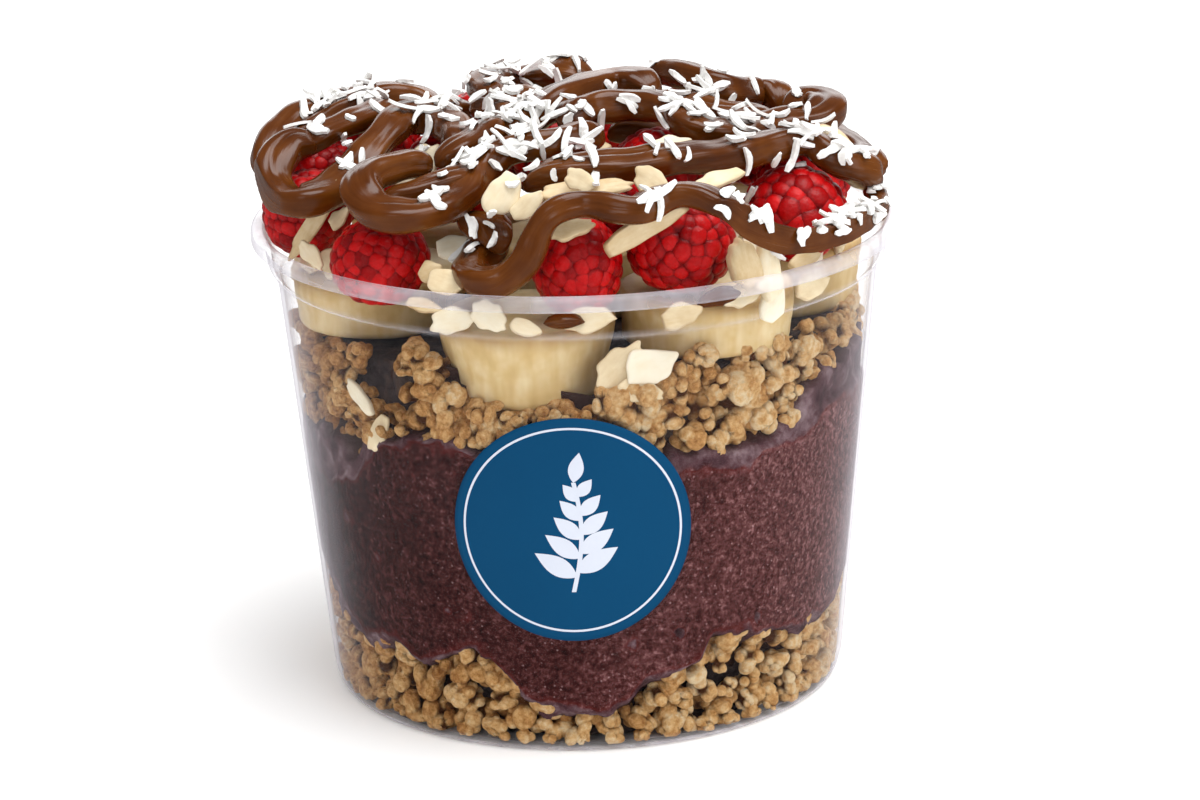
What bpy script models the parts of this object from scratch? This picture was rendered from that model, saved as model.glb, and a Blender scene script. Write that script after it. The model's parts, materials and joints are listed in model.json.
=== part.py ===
"""Acai bowl in a clear round deli tub: layered granola, acai and banana under a heap of
raspberries, almond flakes and piped chocolate spread.

Lengths are written in millimetres and turned into metres where a mesh is made.
The origin is the centre of the base, +Z is up and the front of the tub faces -Y.
"""

import math

import bmesh
import bpy
from mathutils import Vector

MM = 0.001
COLLECTION = "acai_bowl"

# Tub
TUB_HEIGHT = 86.0
RIM_RADIUS = 58.5
LIP_HEIGHT = 2.6
WALL_FOOT_Z = 3.0
WALL_FOOT_RADIUS = 47.0
WALL_SLOPE = 0.0955
WALL_THICKNESS = 0.7
STEP_Z = 77.6
FLOOR_Z = 2.0
FOOT_RADIUS = 45.3
TUB_STEPS = 48

# Gaps that keep neighbouring bodies apart
FIT_GAP = 0.35

# Round label on the front of the wall
LABEL_RADIUS = 20.8
LABEL_CENTRE_Z = 42.7
LABEL_CENTRE_AZIMUTH = -2.5
LABEL_THICKNESS = 0.25
LABEL_RINGS = 4
LABEL_STEPS = 24

# Layers seen through the wall; azimuth is in degrees from the front, positive to the right
LAYER_STEPS = 40
LAYER_EDGE = 52.0
STEP_RADIUS = 53.3
GRANOLA_BOTTOM_Z = 2.35
LOWER_BOUNDARY = [
    (-165, 17), (-130, 15), (-100, 19), (-68, 20), (-52, 18), (-39, 15), (-26, 19), (-17, 14),
    (-10, 9), (2, 9), (10, 12), (24, 16), (34, 19), (54, 14), (67, 20), (95, 16), (130, 19),
]
UPPER_BOUNDARY = [
    (-165, 52), (-130, 54), (-100, 51), (-68, 48), (-50, 48), (-43, 54), (-30, 56), (-15, 54),
    (0, 52), (18, 51), (30, 49), (42, 52), (54, 54), (67, 54), (95, 52), (130, 50),
]
LAYER_CORE_RADIUS = 36.0
CORE_LIFT = 1.0
GRANOLA_TOP_Z = 67.4
GRANOLA_FRONT_DIP = 3.0
DIP_INNER_RADIUS = 17.0
DIP_OUTER_RADIUS = 25.0

# Banana slices: centre x, centre y, underside z, top z, radius
BANANAS = [
    (-9.2, -35.2, 65.2, 77.3, 15.3),
    (22.3, -29.1, 70.3, 80.1, 15.5),
    (36.0, 2.4, 68.0, 80.0, 15.3),
    (-35.3, -10.0, 70.0, 79.4, 15.5),
    (-26.0, 23.5, 69.0, 80.8, 15.8),
    (8.0, 35.3, 68.0, 80.8, 15.8),
    (0.0, 0.5, 69.0, 81.5, 15.5),
]
BANANA_STEPS = 20
BANANA_UNDER_CHAMFER = 1.5
BANANA_TOP_CHAMFER = 0.9

# Raspberries: centre x, y, z, half width, half height; the first nine show at the front
RASPBERRIES = [
    (-47.5, -12.0, 90.0, 8.0, 8.0),
    (-45.5, 6.0, 90.8, 8.5, 8.5),
    (-34.0, -31.0, 86.0, 8.9, 7.7),
    (0.0, -42.0, 87.2, 7.8, 9.2),
    (17.8, -37.3, 89.6, 9.8, 9.0),
    (38.5, -17.0, 88.8, 9.6, 8.6),
    (3.5, -23.5, 92.0, 8.4, 8.4),
    (15.0, -5.5, 93.5, 8.8, 8.8),
    (-22.0, 4.0, 92.5, 9.0, 9.0),
    (-37.0, 24.0, 91.5, 9.2, 9.2),
    (-5.0, 20.0, 93.3, 9.2, 9.2),
    (2.0, 41.5, 90.5, 9.2, 9.0),
    (34.5, 27.5, 91.5, 9.2, 9.2),
    (41.5, 7.0, 89.4, 8.8, 8.4),
    (-18.0, 40.0, 90.5, 9.0, 9.0),
    (22.5, 12.0, 93.0, 8.4, 8.4),
    (21.5, 40.5, 89.7, 8.6, 8.2),
]
RASPBERRY_SEGMENTS = 12
RASPBERRY_RINGS = 7

# Piped chocolate spread: each strand is a round rope through a few points x, y, z
ROPE_RADIUS = 3.0
ROPE_STEP = 3.6
ROPE_BEVEL = 1
ROPE_END_SCALES = [0.45, 0.85]
STRANDS = [
    [(-24, 12, 103), (-30, 15, 104), (-37, 15, 104), (-44, 13, 103), (-50, 8, 102), (-54, 0, 99),
     (-55, -6, 96)],
    [(-20, -17, 102), (-21, -8, 103), (-25, -1, 104), (-30, -1, 104), (-33, -8, 103),
     (-37, -14, 100), (-41, -21, 97), (-47, -28, 96), (-52, -22, 96), (-53, -17, 99),
     (-50, -12, 102), (-45, -11, 103)],
    [(5, -16, 104), (-4, -23, 104), (-12, -24, 103), (-17, -28, 100), (-20, -36, 98),
     (-25, -42, 97), (-31, -43, 97), (-35, -40, 98), (-36, -35, 101), (-32, -30, 102),
     (-25, -24, 102)],
    [(-14, -26, 93), (-15, -34, 89), (-18, -42, 87), (-17, -49, 87), (-13, -50, 87),
     (-9, -51, 90), (-7, -51, 94), (-4, -51, 99), (2, -50, 100), (10, -52, 99), (14, -49, 100),
     (19, -49, 101), (25, -51, 99), (32, -51, 94), (38, -46, 91), (44, -38, 90), (49, -29, 90),
     (51, -24, 90)],
    [(-9, -34, 100), (0, -35, 102), (8, -34, 102), (17, -29, 102), (25, -24, 101),
     (34, -18, 101), (41, -15, 101), (46, -18, 98), (50, -16, 96), (53, -12, 93)],
    [(-2, -13, 106), (3, -6, 106), (11, -4, 106), (17, -8, 106), (21, -14, 104), (26, -13, 102),
     (31, -5, 101), (38, 0, 101), (43, 1, 101), (46, 6, 102), (43, 11, 102), (38, 8, 102)],
    [(-12, -12, 104), (-6, -4, 105), (1, 4, 107), (7, 10, 107), (12, 9, 107), (15, 5, 107)],
    [(-4, 7, 105), (-9, 5, 105), (-13, 11, 105), (-16, 20, 105), (-13, 30, 103), (-7, 32, 103),
     (-2, 27, 105), (4, 23, 105)],
    [(14, 24, 106), (18, 22, 106), (23, 15, 106), (28, 13, 104), (33, 20, 102), (37, 20, 102),
     (38, 16, 101)],
    [(-50, 20, 97), (-49, 30, 95), (-41, 36, 97), (-30, 38, 95), (-28, 48, 93), (-17, 54, 92),
     (-6, 55, 91), (4, 55, 91), (14, 54, 92), (24, 53, 93), (33, 45, 92), (42, 37, 91),
     (48, 29, 91), (53, 19, 90), (55, 9, 90)],
]

# Large almond flakes: centre x, y, z, half length, half width, then the turns about X, Y and Z
ALMOND_HALF_THICKNESS = 0.6
ALMOND_SEGMENTS = 12
ALMOND_RINGS = 6
ALMONDS = [
    (-27.5, -10.5, 97.0, 5.6, 3.6, (60.0, -50.0, 0.0)),
    (1.0, -10.0, 99.0, 5.5, 3.6, (35.0, -8.0, 0.0)),
    (31.5, -38.5, 87.5, 3.4, 4.3, (68.0, 0.0, 0.0)),
    (46.0, -7.0, 98.5, 4.5, 3.5, (50.0, 30.0, 20.0)),
]


def clear_objects():
    for item in list(bpy.data.objects):
        bpy.data.objects.remove(item, do_unlink=True)


def make_collection(name):
    collection = bpy.data.collections.new(name)
    bpy.context.scene.collection.children.link(collection)
    return collection


def make_material(name, colour, roughness, transmission=0.0, alpha=1.0):
    material = bpy.data.materials.new(name)
    material.use_nodes = True
    shader = material.node_tree.nodes["Principled BSDF"]
    shader.inputs["Base Color"].default_value = (*colour, 1.0)
    shader.inputs["Roughness"].default_value = roughness
    shader.inputs["Transmission Weight"].default_value = transmission
    shader.inputs["Alpha"].default_value = alpha
    material.diffuse_color = (*colour, alpha)
    return material


def add_object(name, bm, material, collection, smooth=True):
    bmesh.ops.recalc_face_normals(bm, faces=bm.faces)
    for face in bm.faces:
        face.smooth = smooth
    mesh = bpy.data.meshes.new(name)
    bm.to_mesh(mesh)
    bm.free()
    mesh.materials.append(material)
    item = bpy.data.objects.new(name, mesh)
    collection.objects.link(item)
    return item


def wall_radius(z):
    return WALL_FOOT_RADIUS + WALL_SLOPE * (z - WALL_FOOT_Z)


def lathe(name, profile, steps, material, collection):
    """Turn an open profile of (radius, z), both ends on the axis, into one closed body."""
    mesh = bpy.data.meshes.new(name)
    points = [(radius * MM, 0.0, z * MM) for radius, z in profile]
    edges = [(index, index + 1) for index in range(len(points) - 1)]
    mesh.from_pydata(points, edges, [])
    mesh.materials.append(material)
    item = bpy.data.objects.new(name, mesh)
    collection.objects.link(item)
    screw = item.modifiers.new("turn", "SCREW")
    screw.axis = "Z"
    screw.angle = math.tau
    screw.steps = steps
    screw.render_steps = steps
    screw.use_merge_vertices = True
    screw.merge_threshold = 0.00001
    screw.use_smooth_shade = True
    return item


def add_tub(material, collection):
    step_radius = wall_radius(STEP_Z)
    top = TUB_HEIGHT
    under_lip = TUB_HEIGHT - LIP_HEIGHT
    inner_foot_z = FLOOR_Z + 2.2
    profile = [
        (0.0, FLOOR_Z),
        (FOOT_RADIUS - 1.0, FLOOR_Z),
        (FOOT_RADIUS + 0.3, FLOOR_Z + 0.8),
        (wall_radius(inner_foot_z) - WALL_THICKNESS, inner_foot_z),
        (step_radius - WALL_THICKNESS, STEP_Z + 0.1),
        (54.7, STEP_Z + 0.9),
        (55.2, under_lip - 0.4),
        (56.0, top - 0.6),
        (56.6, top),
        (57.7, top),
        (58.35, top - 0.5),
        (RIM_RADIUS, top - 1.3),
        (RIM_RADIUS, under_lip),
        (56.2, under_lip - 0.2),
        (55.6, STEP_Z + 1.6),
        (55.1, STEP_Z + 0.6),
        (step_radius, STEP_Z),
        (WALL_FOOT_RADIUS, WALL_FOOT_Z),
        (46.2, 0.9),
        (FOOT_RADIUS, 0.0),
        (FOOT_RADIUS - 2.0, 0.0),
        (FOOT_RADIUS - 2.6, 1.1),
        (0.0, 1.1),
    ]
    return lathe("tub", profile, TUB_STEPS, material, collection)


def spun_mesh(profile, steps):
    """Spin (radius, z) points about Z into a bmesh whose points on the axis are merged."""
    bm = bmesh.new()
    verts = [bm.verts.new((radius, 0.0, z)) for radius, z in profile]
    edges = [bm.edges.new(pair) for pair in zip(verts, verts[1:])]
    bmesh.ops.spin(
        bm, geom=verts + edges, cent=(0.0, 0.0, 0.0), axis=(0.0, 0.0, 1.0),
        angle=math.tau, steps=steps, use_merge=True,
    )
    bmesh.ops.remove_doubles(bm, verts=bm.verts, dist=0.001)
    return bm


def add_label(material, collection):
    """A round sheet wrapped on the wall and given its thickness outwards."""
    profile = [(LABEL_RADIUS * ring / LABEL_RINGS, 0.0) for ring in range(LABEL_RINGS + 1)]
    bm = spun_mesh(profile, LABEL_STEPS)
    for vert in bm.verts:
        z = LABEL_CENTRE_Z + vert.co.y
        radius = wall_radius(z)
        azimuth = math.radians(LABEL_CENTRE_AZIMUTH) + vert.co.x / radius
        radius += FIT_GAP
        vert.co = Vector((radius * math.sin(azimuth), -radius * math.cos(azimuth), z)) * MM
    item = add_object("label", bm, material, collection)
    shell = item.modifiers.new("thickness", "SOLIDIFY")
    shell.thickness = LABEL_THICKNESS * MM
    shell.offset = label_side(item)
    return item


def label_side(item):
    """Solidify offset that grows the sheet away from the tub."""
    face = item.data.polygons[0]
    outwards = Vector((face.center.x, face.center.y, 0.0))
    return 1.0 if face.normal.dot(outwards) > 0.0 else -1.0


def boundary_height(table, azimuth):
    """Smooth periodic height between the (azimuth, z) pairs of a table."""
    pairs = [(angle - 360.0, z) for angle, z in table[-1:]] + table
    pairs = pairs + [(angle + 360.0, z) for angle, z in table[:1]]
    for (left, z_left), (right, z_right) in zip(pairs, pairs[1:]):
        if left <= azimuth <= right:
            share = (azimuth - left) / (right - left)
            share = share * share * (3.0 - 2.0 * share)
            return z_left + (z_right - z_left) * share
    return pairs[0][1]


def layer_surface(table, lift):
    """Height over the tub of a layer boundary that is level in the middle."""
    middle = sum(z for _, z in table) / len(table) + CORE_LIFT

    def height(x, y):
        reach = math.hypot(x, y)
        azimuth = math.degrees(math.atan2(x, -y))
        edge = boundary_height(table, azimuth)
        share = min(1.0, reach / LAYER_CORE_RADIUS)
        return middle + (edge - middle) * share ** 2 + lift

    return height


def granola_roof(x, y):
    """Height of the upper granola, dipping under the front banana slice."""
    front = BANANAS[0]
    away = math.hypot(x - front[0], y - front[1])
    share = (away - DIP_INNER_RADIUS) / (DIP_OUTER_RADIUS - DIP_INNER_RADIUS)
    share = min(1.0, max(0.0, share))
    share = share * share * (3.0 - 2.0 * share)
    return GRANOLA_TOP_Z - GRANOLA_FRONT_DIP * (1.0 - share)


def flat_floor(x, y):
    return GRANOLA_BOTTOM_Z


def edge_radius(z):
    """Reach of a layer at height z, just short of the inside of the wall."""
    if z < WALL_FOOT_Z + 2.0:
        return FOOT_RADIUS - 1.2
    return min(wall_radius(z) - WALL_THICKNESS, STEP_RADIUS) - FIT_GAP


def add_layer(name, under, over, over_rings, material, collection):
    """A turned solid whose two faces follow height functions, reaching almost to the wall."""
    under_rings = [0.0, LAYER_CORE_RADIUS, LAYER_EDGE]
    profile = [(reach, 0.0) for reach in under_rings]
    profile += [(reach, 1.0) for reach in [LAYER_EDGE] + over_rings[::-1] + [0.0]]
    bm = spun_mesh(profile, LAYER_STEPS)
    for vert in bm.verts:
        reach = math.hypot(vert.co.x, vert.co.y)
        height = over if vert.co.z > 0.5 else under
        z = height(vert.co.x, vert.co.y)
        if reach > LAYER_EDGE - 1.0:
            vert.co *= edge_radius(z) / LAYER_EDGE
        vert.co = Vector((vert.co.x, vert.co.y, z)) * MM
    bmesh.ops.triangulate(bm, faces=bm.faces, quad_method="SHORT_EDGE")
    return add_object(name, bm, material, collection)


def add_banana(index, slice_size, material, collection):
    x, y, under, top, radius = slice_size
    profile = [
        (0.0, top),
        (radius - BANANA_TOP_CHAMFER, top),
        (radius, top - BANANA_TOP_CHAMFER),
        (radius, under + BANANA_UNDER_CHAMFER),
        (radius - BANANA_UNDER_CHAMFER, under),
        (0.0, under),
    ]
    item = lathe("banana_%d" % index, profile, BANANA_STEPS, material, collection)
    item.location = (x * MM, y * MM, 0.0)
    return item


def add_ellipsoid(name, segments, rings, half_sizes, material, collection):
    bm = bmesh.new()
    bmesh.ops.create_uvsphere(bm, u_segments=segments, v_segments=rings, radius=1.0)
    bmesh.ops.scale(bm, vec=Vector(half_sizes) * MM, verts=bm.verts)
    return add_object(name, bm, material, collection)


def add_raspberry(index, berry, material, collection):
    x, y, z, half_width, half_height = berry
    sizes = (half_width, half_width, half_height)
    name = "raspberry_%02d" % index
    item = add_ellipsoid(name, RASPBERRY_SEGMENTS, RASPBERRY_RINGS, sizes, material, collection)
    item.location = (x * MM, y * MM, z * MM)
    return item


def add_almond(index, flake, material, collection):
    x, y, z, half_length, half_width, turns = flake
    sizes = (half_length, half_width, ALMOND_HALF_THICKNESS)
    name = "almond_%d" % index
    item = add_ellipsoid(name, ALMOND_SEGMENTS, ALMOND_RINGS, sizes, material, collection)
    item.location = (x * MM, y * MM, z * MM)
    item.rotation_euler = [math.radians(turn) for turn in turns]
    return item


def smooth_route(points, step):
    """Catmull-Rom curve through the points, cut into steps of almost equal length."""
    route = [Vector(point) for point in points]
    ends = [2.0 * route[0] - route[1]] + route + [2.0 * route[-1] - route[-2]]
    fine = []
    parts = 12
    for index in range(1, len(ends) - 2):
        before, start, end, after = ends[index - 1:index + 3]
        for part in range(parts):
            t = part / parts
            point = 2.0 * start + (end - before) * t
            point += (2.0 * before - 5.0 * start + 4.0 * end - after) * t ** 2
            point += (3.0 * start - before - 3.0 * end + after) * t ** 3
            fine.append(0.5 * point)
    fine.append(route[-1])
    lengths = [0.0]
    for start, end in zip(fine, fine[1:]):
        lengths.append(lengths[-1] + (end - start).length)
    count = max(2, round(lengths[-1] / step))
    evenly = []
    place = 0
    for index in range(count + 1):
        target = lengths[-1] * index / count
        while place < len(fine) - 2 and lengths[place + 1] < target:
            place += 1
        span = lengths[place + 1] - lengths[place]
        share = (target - lengths[place]) / span
        evenly.append(fine[place].lerp(fine[place + 1], min(1.0, share)))
    return evenly


def add_strand(index, points, material, collection):
    """A bevelled curve with narrowed ends and filled caps."""
    name = "spread_%02d" % index
    route = smooth_route(points, ROPE_STEP)
    curve = bpy.data.curves.new(name, "CURVE")
    curve.dimensions = "3D"
    curve.bevel_depth = ROPE_RADIUS * MM
    curve.bevel_resolution = ROPE_BEVEL
    curve.use_fill_caps = True
    spline = curve.splines.new("POLY")
    spline.points.add(len(route) - 1)
    for place, point in enumerate(route):
        from_end = min(place, len(route) - 1 - place)
        narrowing = ROPE_END_SCALES[from_end] if from_end < len(ROPE_END_SCALES) else 1.0
        spline.points[place].co = (*(point * MM), 1.0)
        spline.points[place].radius = narrowing
    curve.materials.append(material)
    item = bpy.data.objects.new(name, curve)
    collection.objects.link(item)
    return item


def main():
    clear_objects()
    collection = make_collection(COLLECTION)
    clear_plastic = make_material("clear_plastic", (0.86, 0.85, 0.88), 0.12, 0.9)
    label_print = make_material("label_print", (0.02, 0.11, 0.27), 0.35)
    granola = make_material("granola", (0.53, 0.32, 0.15), 0.7)
    acai = make_material("acai", (0.09, 0.035, 0.045), 0.45)
    banana = make_material("banana", (0.72, 0.58, 0.33), 0.5)
    raspberry = make_material("raspberry", (0.45, 0.012, 0.025), 0.35)
    spread = make_material("chocolate_spread", (0.12, 0.035, 0.012), 0.25)
    almond = make_material("almond", (0.76, 0.63, 0.42), 0.55)

    add_tub(clear_plastic, collection)
    add_label(label_print, collection)
    lower_top = layer_surface(LOWER_BOUNDARY, -FIT_GAP / 2.0)
    acai_floor = layer_surface(LOWER_BOUNDARY, FIT_GAP / 2.0)
    acai_roof = layer_surface(UPPER_BOUNDARY, -FIT_GAP / 2.0)
    upper_floor = layer_surface(UPPER_BOUNDARY, FIT_GAP / 2.0)
    core = [LAYER_CORE_RADIUS]
    roof_rings = [14.0, 26.0, 38.0]
    add_layer("granola_bottom", flat_floor, lower_top, core, granola, collection)
    add_layer("acai", acai_floor, acai_roof, core, acai, collection)
    add_layer("granola_top", upper_floor, granola_roof, roof_rings, granola, collection)
    for index, slice_size in enumerate(BANANAS, 1):
        add_banana(index, slice_size, banana, collection)
    for index, berry in enumerate(RASPBERRIES, 1):
        add_raspberry(index, berry, raspberry, collection)
    for index, points in enumerate(STRANDS, 1):
        add_strand(index, points, spread, collection)
    for index, flake in enumerate(ALMONDS, 1):
        add_almond(index, flake, almond, collection)


main()
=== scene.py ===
"""Dressed model of an acai bowl in a clear round deli tub.

The shapes are worked out in millimetres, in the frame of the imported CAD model: the origin is the
centre of the base, +Z is up and the front of the tub faces -Y. Azimuth is measured from the front,
positive to the right.
"""

import json
import math

import bmesh
import bpy
import numpy as np
from mathutils import Matrix, Vector
from mathutils.bvhtree import BVHTree

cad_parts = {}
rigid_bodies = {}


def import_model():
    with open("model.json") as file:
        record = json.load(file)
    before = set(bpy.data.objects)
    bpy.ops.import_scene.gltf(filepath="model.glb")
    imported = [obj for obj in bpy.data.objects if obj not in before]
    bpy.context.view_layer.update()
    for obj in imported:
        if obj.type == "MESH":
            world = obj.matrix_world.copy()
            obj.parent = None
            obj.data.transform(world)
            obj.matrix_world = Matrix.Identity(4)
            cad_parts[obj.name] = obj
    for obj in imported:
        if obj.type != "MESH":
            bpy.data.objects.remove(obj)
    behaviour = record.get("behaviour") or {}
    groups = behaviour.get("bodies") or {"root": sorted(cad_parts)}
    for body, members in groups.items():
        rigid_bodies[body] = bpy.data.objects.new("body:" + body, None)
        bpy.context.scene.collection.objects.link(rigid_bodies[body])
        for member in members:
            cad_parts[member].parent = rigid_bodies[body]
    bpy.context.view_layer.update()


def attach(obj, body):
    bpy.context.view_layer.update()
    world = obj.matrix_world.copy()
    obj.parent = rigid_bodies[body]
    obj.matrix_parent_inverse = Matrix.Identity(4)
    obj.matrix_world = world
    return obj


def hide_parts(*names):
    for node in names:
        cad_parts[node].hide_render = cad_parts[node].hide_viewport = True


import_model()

MM = 0.001
BODY = "root"

# ---------------------------------------------------------------- sizes shared with the CAD source
TUB_HEIGHT = 86.0
RIM_RADIUS = 58.5
WALL_FOOT_Z = 3.0
WALL_FOOT_RADIUS = 47.0
WALL_SLOPE = 0.0955
WALL_THICKNESS = 0.7
STEP_Z = 77.6
LABEL_RADIUS = 20.8
LABEL_CENTRE_Z = 42.7
LABEL_CENTRE_AZIMUTH = -2.5
# Heights at which the layers meet: azimuth, z
LOWER_BOUNDARY = [
    (-165, 17), (-130, 15), (-100, 19), (-68, 20), (-52, 18), (-39, 15), (-26, 19), (-17, 14),
    (-10, 9), (2, 9), (10, 12), (24, 16), (34, 19), (54, 14), (67, 20), (95, 16), (130, 19),
]
UPPER_BOUNDARY = [
    (-165, 52), (-130, 54), (-100, 51), (-68, 48), (-50, 48), (-43, 54), (-30, 56), (-15, 54),
    (0, 52), (18, 51), (30, 49), (42, 52), (54, 54), (67, 54), (95, 52), (130, 50),
]
# Slices: x, y, underside, top, radius
BANANAS = [
    (-9.2, -35.2, 65.2, 77.3, 15.3),
    (22.3, -29.1, 70.3, 80.1, 15.5),
    (36.0, 2.4, 68.0, 80.0, 15.3),
    (-35.3, -10.0, 70.0, 79.4, 15.5),
    (-26.0, 23.5, 69.0, 80.8, 15.8),
    (8.0, 35.3, 68.0, 80.8, 15.8),
    (0.0, 0.5, 69.0, 81.5, 15.5),
]
# Berries: centre x, y, z, half width, half height
RASPBERRIES = [
    (-47.5, -12.0, 90.0, 8.0, 8.0),
    (-45.5, 6.0, 90.8, 8.5, 8.5),
    (-34.0, -31.0, 86.0, 8.9, 7.7),
    (0.0, -42.0, 87.2, 7.8, 9.2),
    (17.8, -37.3, 89.6, 9.8, 9.0),
    (38.5, -17.0, 88.8, 9.6, 8.6),
    (3.5, -23.5, 92.0, 8.4, 8.4),
    (15.0, -5.5, 93.5, 8.8, 8.8),
    (-22.0, 4.0, 92.5, 9.0, 9.0),
    (-37.0, 24.0, 91.5, 9.2, 9.2),
    (-5.0, 20.0, 93.3, 9.2, 9.2),
    (2.0, 41.5, 90.5, 9.2, 9.0),
    (34.5, 27.5, 91.5, 9.2, 9.2),
    (41.5, 7.0, 89.4, 8.8, 8.4),
    (-18.0, 40.0, 90.5, 9.0, 9.0),
    (22.5, 12.0, 93.0, 8.4, 8.4),
    (21.5, 40.5, 89.7, 8.6, 8.2),
]
ROPE_RADIUS = 3.0
# Routes of the piped spread
STRANDS = [
    [(-24, 12, 103), (-30, 15, 104), (-37, 15, 104), (-44, 13, 103), (-50, 8, 102), (-54, 0, 99),
     (-55, -6, 96)],
    [(-20, -17, 102), (-21, -8, 103), (-25, -1, 104), (-30, -1, 104), (-33, -8, 103),
     (-37, -14, 100), (-41, -21, 97), (-47, -28, 96), (-52, -22, 96), (-53, -17, 99),
     (-50, -12, 102), (-45, -11, 103)],
    [(5, -16, 104), (-4, -23, 104), (-12, -24, 103), (-17, -28, 100), (-20, -36, 98),
     (-25, -42, 97), (-31, -43, 97), (-35, -40, 98), (-36, -35, 101), (-32, -30, 102),
     (-25, -24, 102)],
    [(-14, -26, 93), (-15, -34, 89), (-18, -42, 87), (-17, -49, 87), (-13, -50, 87),
     (-9, -51, 90), (-7, -51, 94), (-4, -51, 99), (2, -50, 100), (10, -52, 99), (14, -49, 100),
     (19, -49, 101), (25, -51, 99), (32, -51, 94), (38, -46, 91), (44, -38, 90), (49, -29, 90),
     (51, -24, 90)],
    [(-9, -34, 100), (0, -35, 102), (8, -34, 102), (17, -29, 102), (25, -24, 101),
     (34, -18, 101), (41, -15, 101), (46, -18, 98), (50, -16, 96), (53, -12, 93)],
    [(-2, -13, 106), (3, -6, 106), (11, -4, 106), (17, -8, 106), (21, -14, 104), (26, -13, 102),
     (31, -5, 101), (38, 0, 101), (43, 1, 101), (46, 6, 102), (43, 11, 102), (38, 8, 102)],
    [(-12, -12, 104), (-6, -4, 105), (1, 4, 107), (7, 10, 107), (12, 9, 107), (15, 5, 107)],
    [(-4, 7, 105), (-9, 5, 105), (-13, 11, 105), (-16, 20, 105), (-13, 30, 103), (-7, 32, 103),
     (-2, 27, 105), (4, 23, 105)],
    [(14, 24, 106), (18, 22, 106), (23, 15, 106), (28, 13, 104), (33, 20, 102), (37, 20, 102),
     (38, 16, 101)],
    [(-50, 20, 97), (-49, 30, 95), (-41, 36, 97), (-30, 38, 95), (-28, 48, 93), (-17, 54, 92),
     (-6, 55, 91), (4, 55, 91), (14, 54, 92), (24, 53, 93), (33, 45, 92), (42, 37, 91),
     (48, 29, 91), (53, 19, 90), (55, 9, 90)],
]
# Large flakes: centre x, y, z, half length, half width, turns about X, Y and Z
ALMONDS = [
    (-27.5, -10.5, 97.0, 5.6, 3.6, (60.0, -50.0, 0.0)),
    (1.0, -10.0, 99.0, 5.5, 3.6, (35.0, -8.0, 0.0)),
    (31.5, -38.5, 87.5, 3.4, 4.3, (68.0, 0.0, 0.0)),
    (46.0, -7.0, 98.5, 4.5, 3.5, (50.0, 30.0, 20.0)),
]

# ---------------------------------------------------------------- sizes of the scene's own shapes
FLOOR_Z = 1.0
COLLAR_RADIUS = 54.7
COLLAR_FOOT_Z = 78.5
COLLAR_SLOPE = 0.11
# Highest point of the spread and the shreds, and how far they reach from the axis
HEAP_TOP = 109.6
ROPE_REACH = 58.3
SHRED_REACH = 58.4
ROUTE_STEP = 0.6
ALMOND_HALF_THICKNESS = 0.6
# Granola clusters within this azimuth of the front are finely meshed
FRONT_HALF = 84.0


# ---------------------------------------------------------------- helpers for meshes
def add_mesh(name, points, faces, material, smooth=True, values=None, outward=True):
    """A new object from points in millimetres; values are named numbers or vectors per point."""
    mesh = bpy.data.meshes.new(name)
    faces = [list(map(int, face)) for face in faces]
    mesh.from_pydata((np.asarray(points, float) * MM).tolist(), [], faces)
    if outward:
        bm = bmesh.new()
        bm.from_mesh(mesh)
        bmesh.ops.recalc_face_normals(bm, faces=bm.faces)
        bm.to_mesh(mesh)
        bm.free()
    mesh.polygons.foreach_set("use_smooth", [smooth] * len(mesh.polygons))
    for key, data in (values or {}).items():
        data = np.asarray(data, np.float32)
        kind, field = ("FLOAT", "value") if data.ndim == 1 else ("FLOAT_VECTOR", "vector")
        layer = mesh.attributes.new(key, kind, "POINT")
        layer.data.foreach_set(field, data.ravel())
    mesh.materials.append(material)
    mesh.update()
    item = bpy.data.objects.new(name, mesh)
    bpy.context.scene.collection.objects.link(item)
    return item


class Heap:
    """Gathers many small closed shapes into one mesh."""

    def __init__(self):
        self.points = []
        self.faces = []
        self.values = {}
        self.count = 0

    def add(self, points, faces, **values):
        self.points.append(np.asarray(points, float))
        self.faces.extend([[index + self.count for index in face] for face in faces])
        for key, data in values.items():
            data = np.asarray(data, float)
            if data.ndim == 0:
                data = np.full(len(points), float(data))
            self.values.setdefault(key, []).append(data)
        self.count += len(points)

    def build(self, name, material, smooth=True):
        values = {key: np.concatenate(parts) for key, parts in self.values.items()}
        return add_mesh(name, np.concatenate(self.points), self.faces, material, smooth, values)


def declare(item, node=None):
    """Every piece rides on the one body; node is the CAD solid it replaces."""
    if node:
        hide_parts(node)
    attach(item, BODY)


def ball(level):
    """Unit icosphere as points and triangles."""
    bm = bmesh.new()
    bmesh.ops.create_icosphere(bm, subdivisions=level, radius=1.0)
    points = np.array([vert.co[:] for vert in bm.verts])
    faces = [[vert.index for vert in face.verts] for face in bm.faces]
    bm.free()
    return points, faces


def full_turn(around):
    """Evenly spaced angles of a closed ring."""
    return np.arange(around) * math.tau / around


def ring_at(angles, reach, z):
    """Points round the axis; an angle is measured from the front, positive to the right."""
    z = np.broadcast_to(z, angles.shape)
    return np.column_stack([np.sin(angles) * reach, -np.cos(angles) * reach, z])


def ring_faces(rings, around):
    """Quads between closed rings of points laid one after another."""
    faces = []
    for low in range(0, (rings - 1) * around, around):
        high = low + around
        for step in range(around):
            following = (step + 1) % around
            faces.append([low + step, low + following, high + following, high + step])
    return faces


def capped_rings(rings, around):
    """Closed skin over rings whose first and last tips are the two points after them."""
    tip = rings * around
    last = tip - around
    faces = ring_faces(rings, around)
    faces += [[tip, (step + 1) % around, step] for step in range(around)]
    faces += [[tip + 1, last + step, last + (step + 1) % around] for step in range(around)]
    return faces


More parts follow.
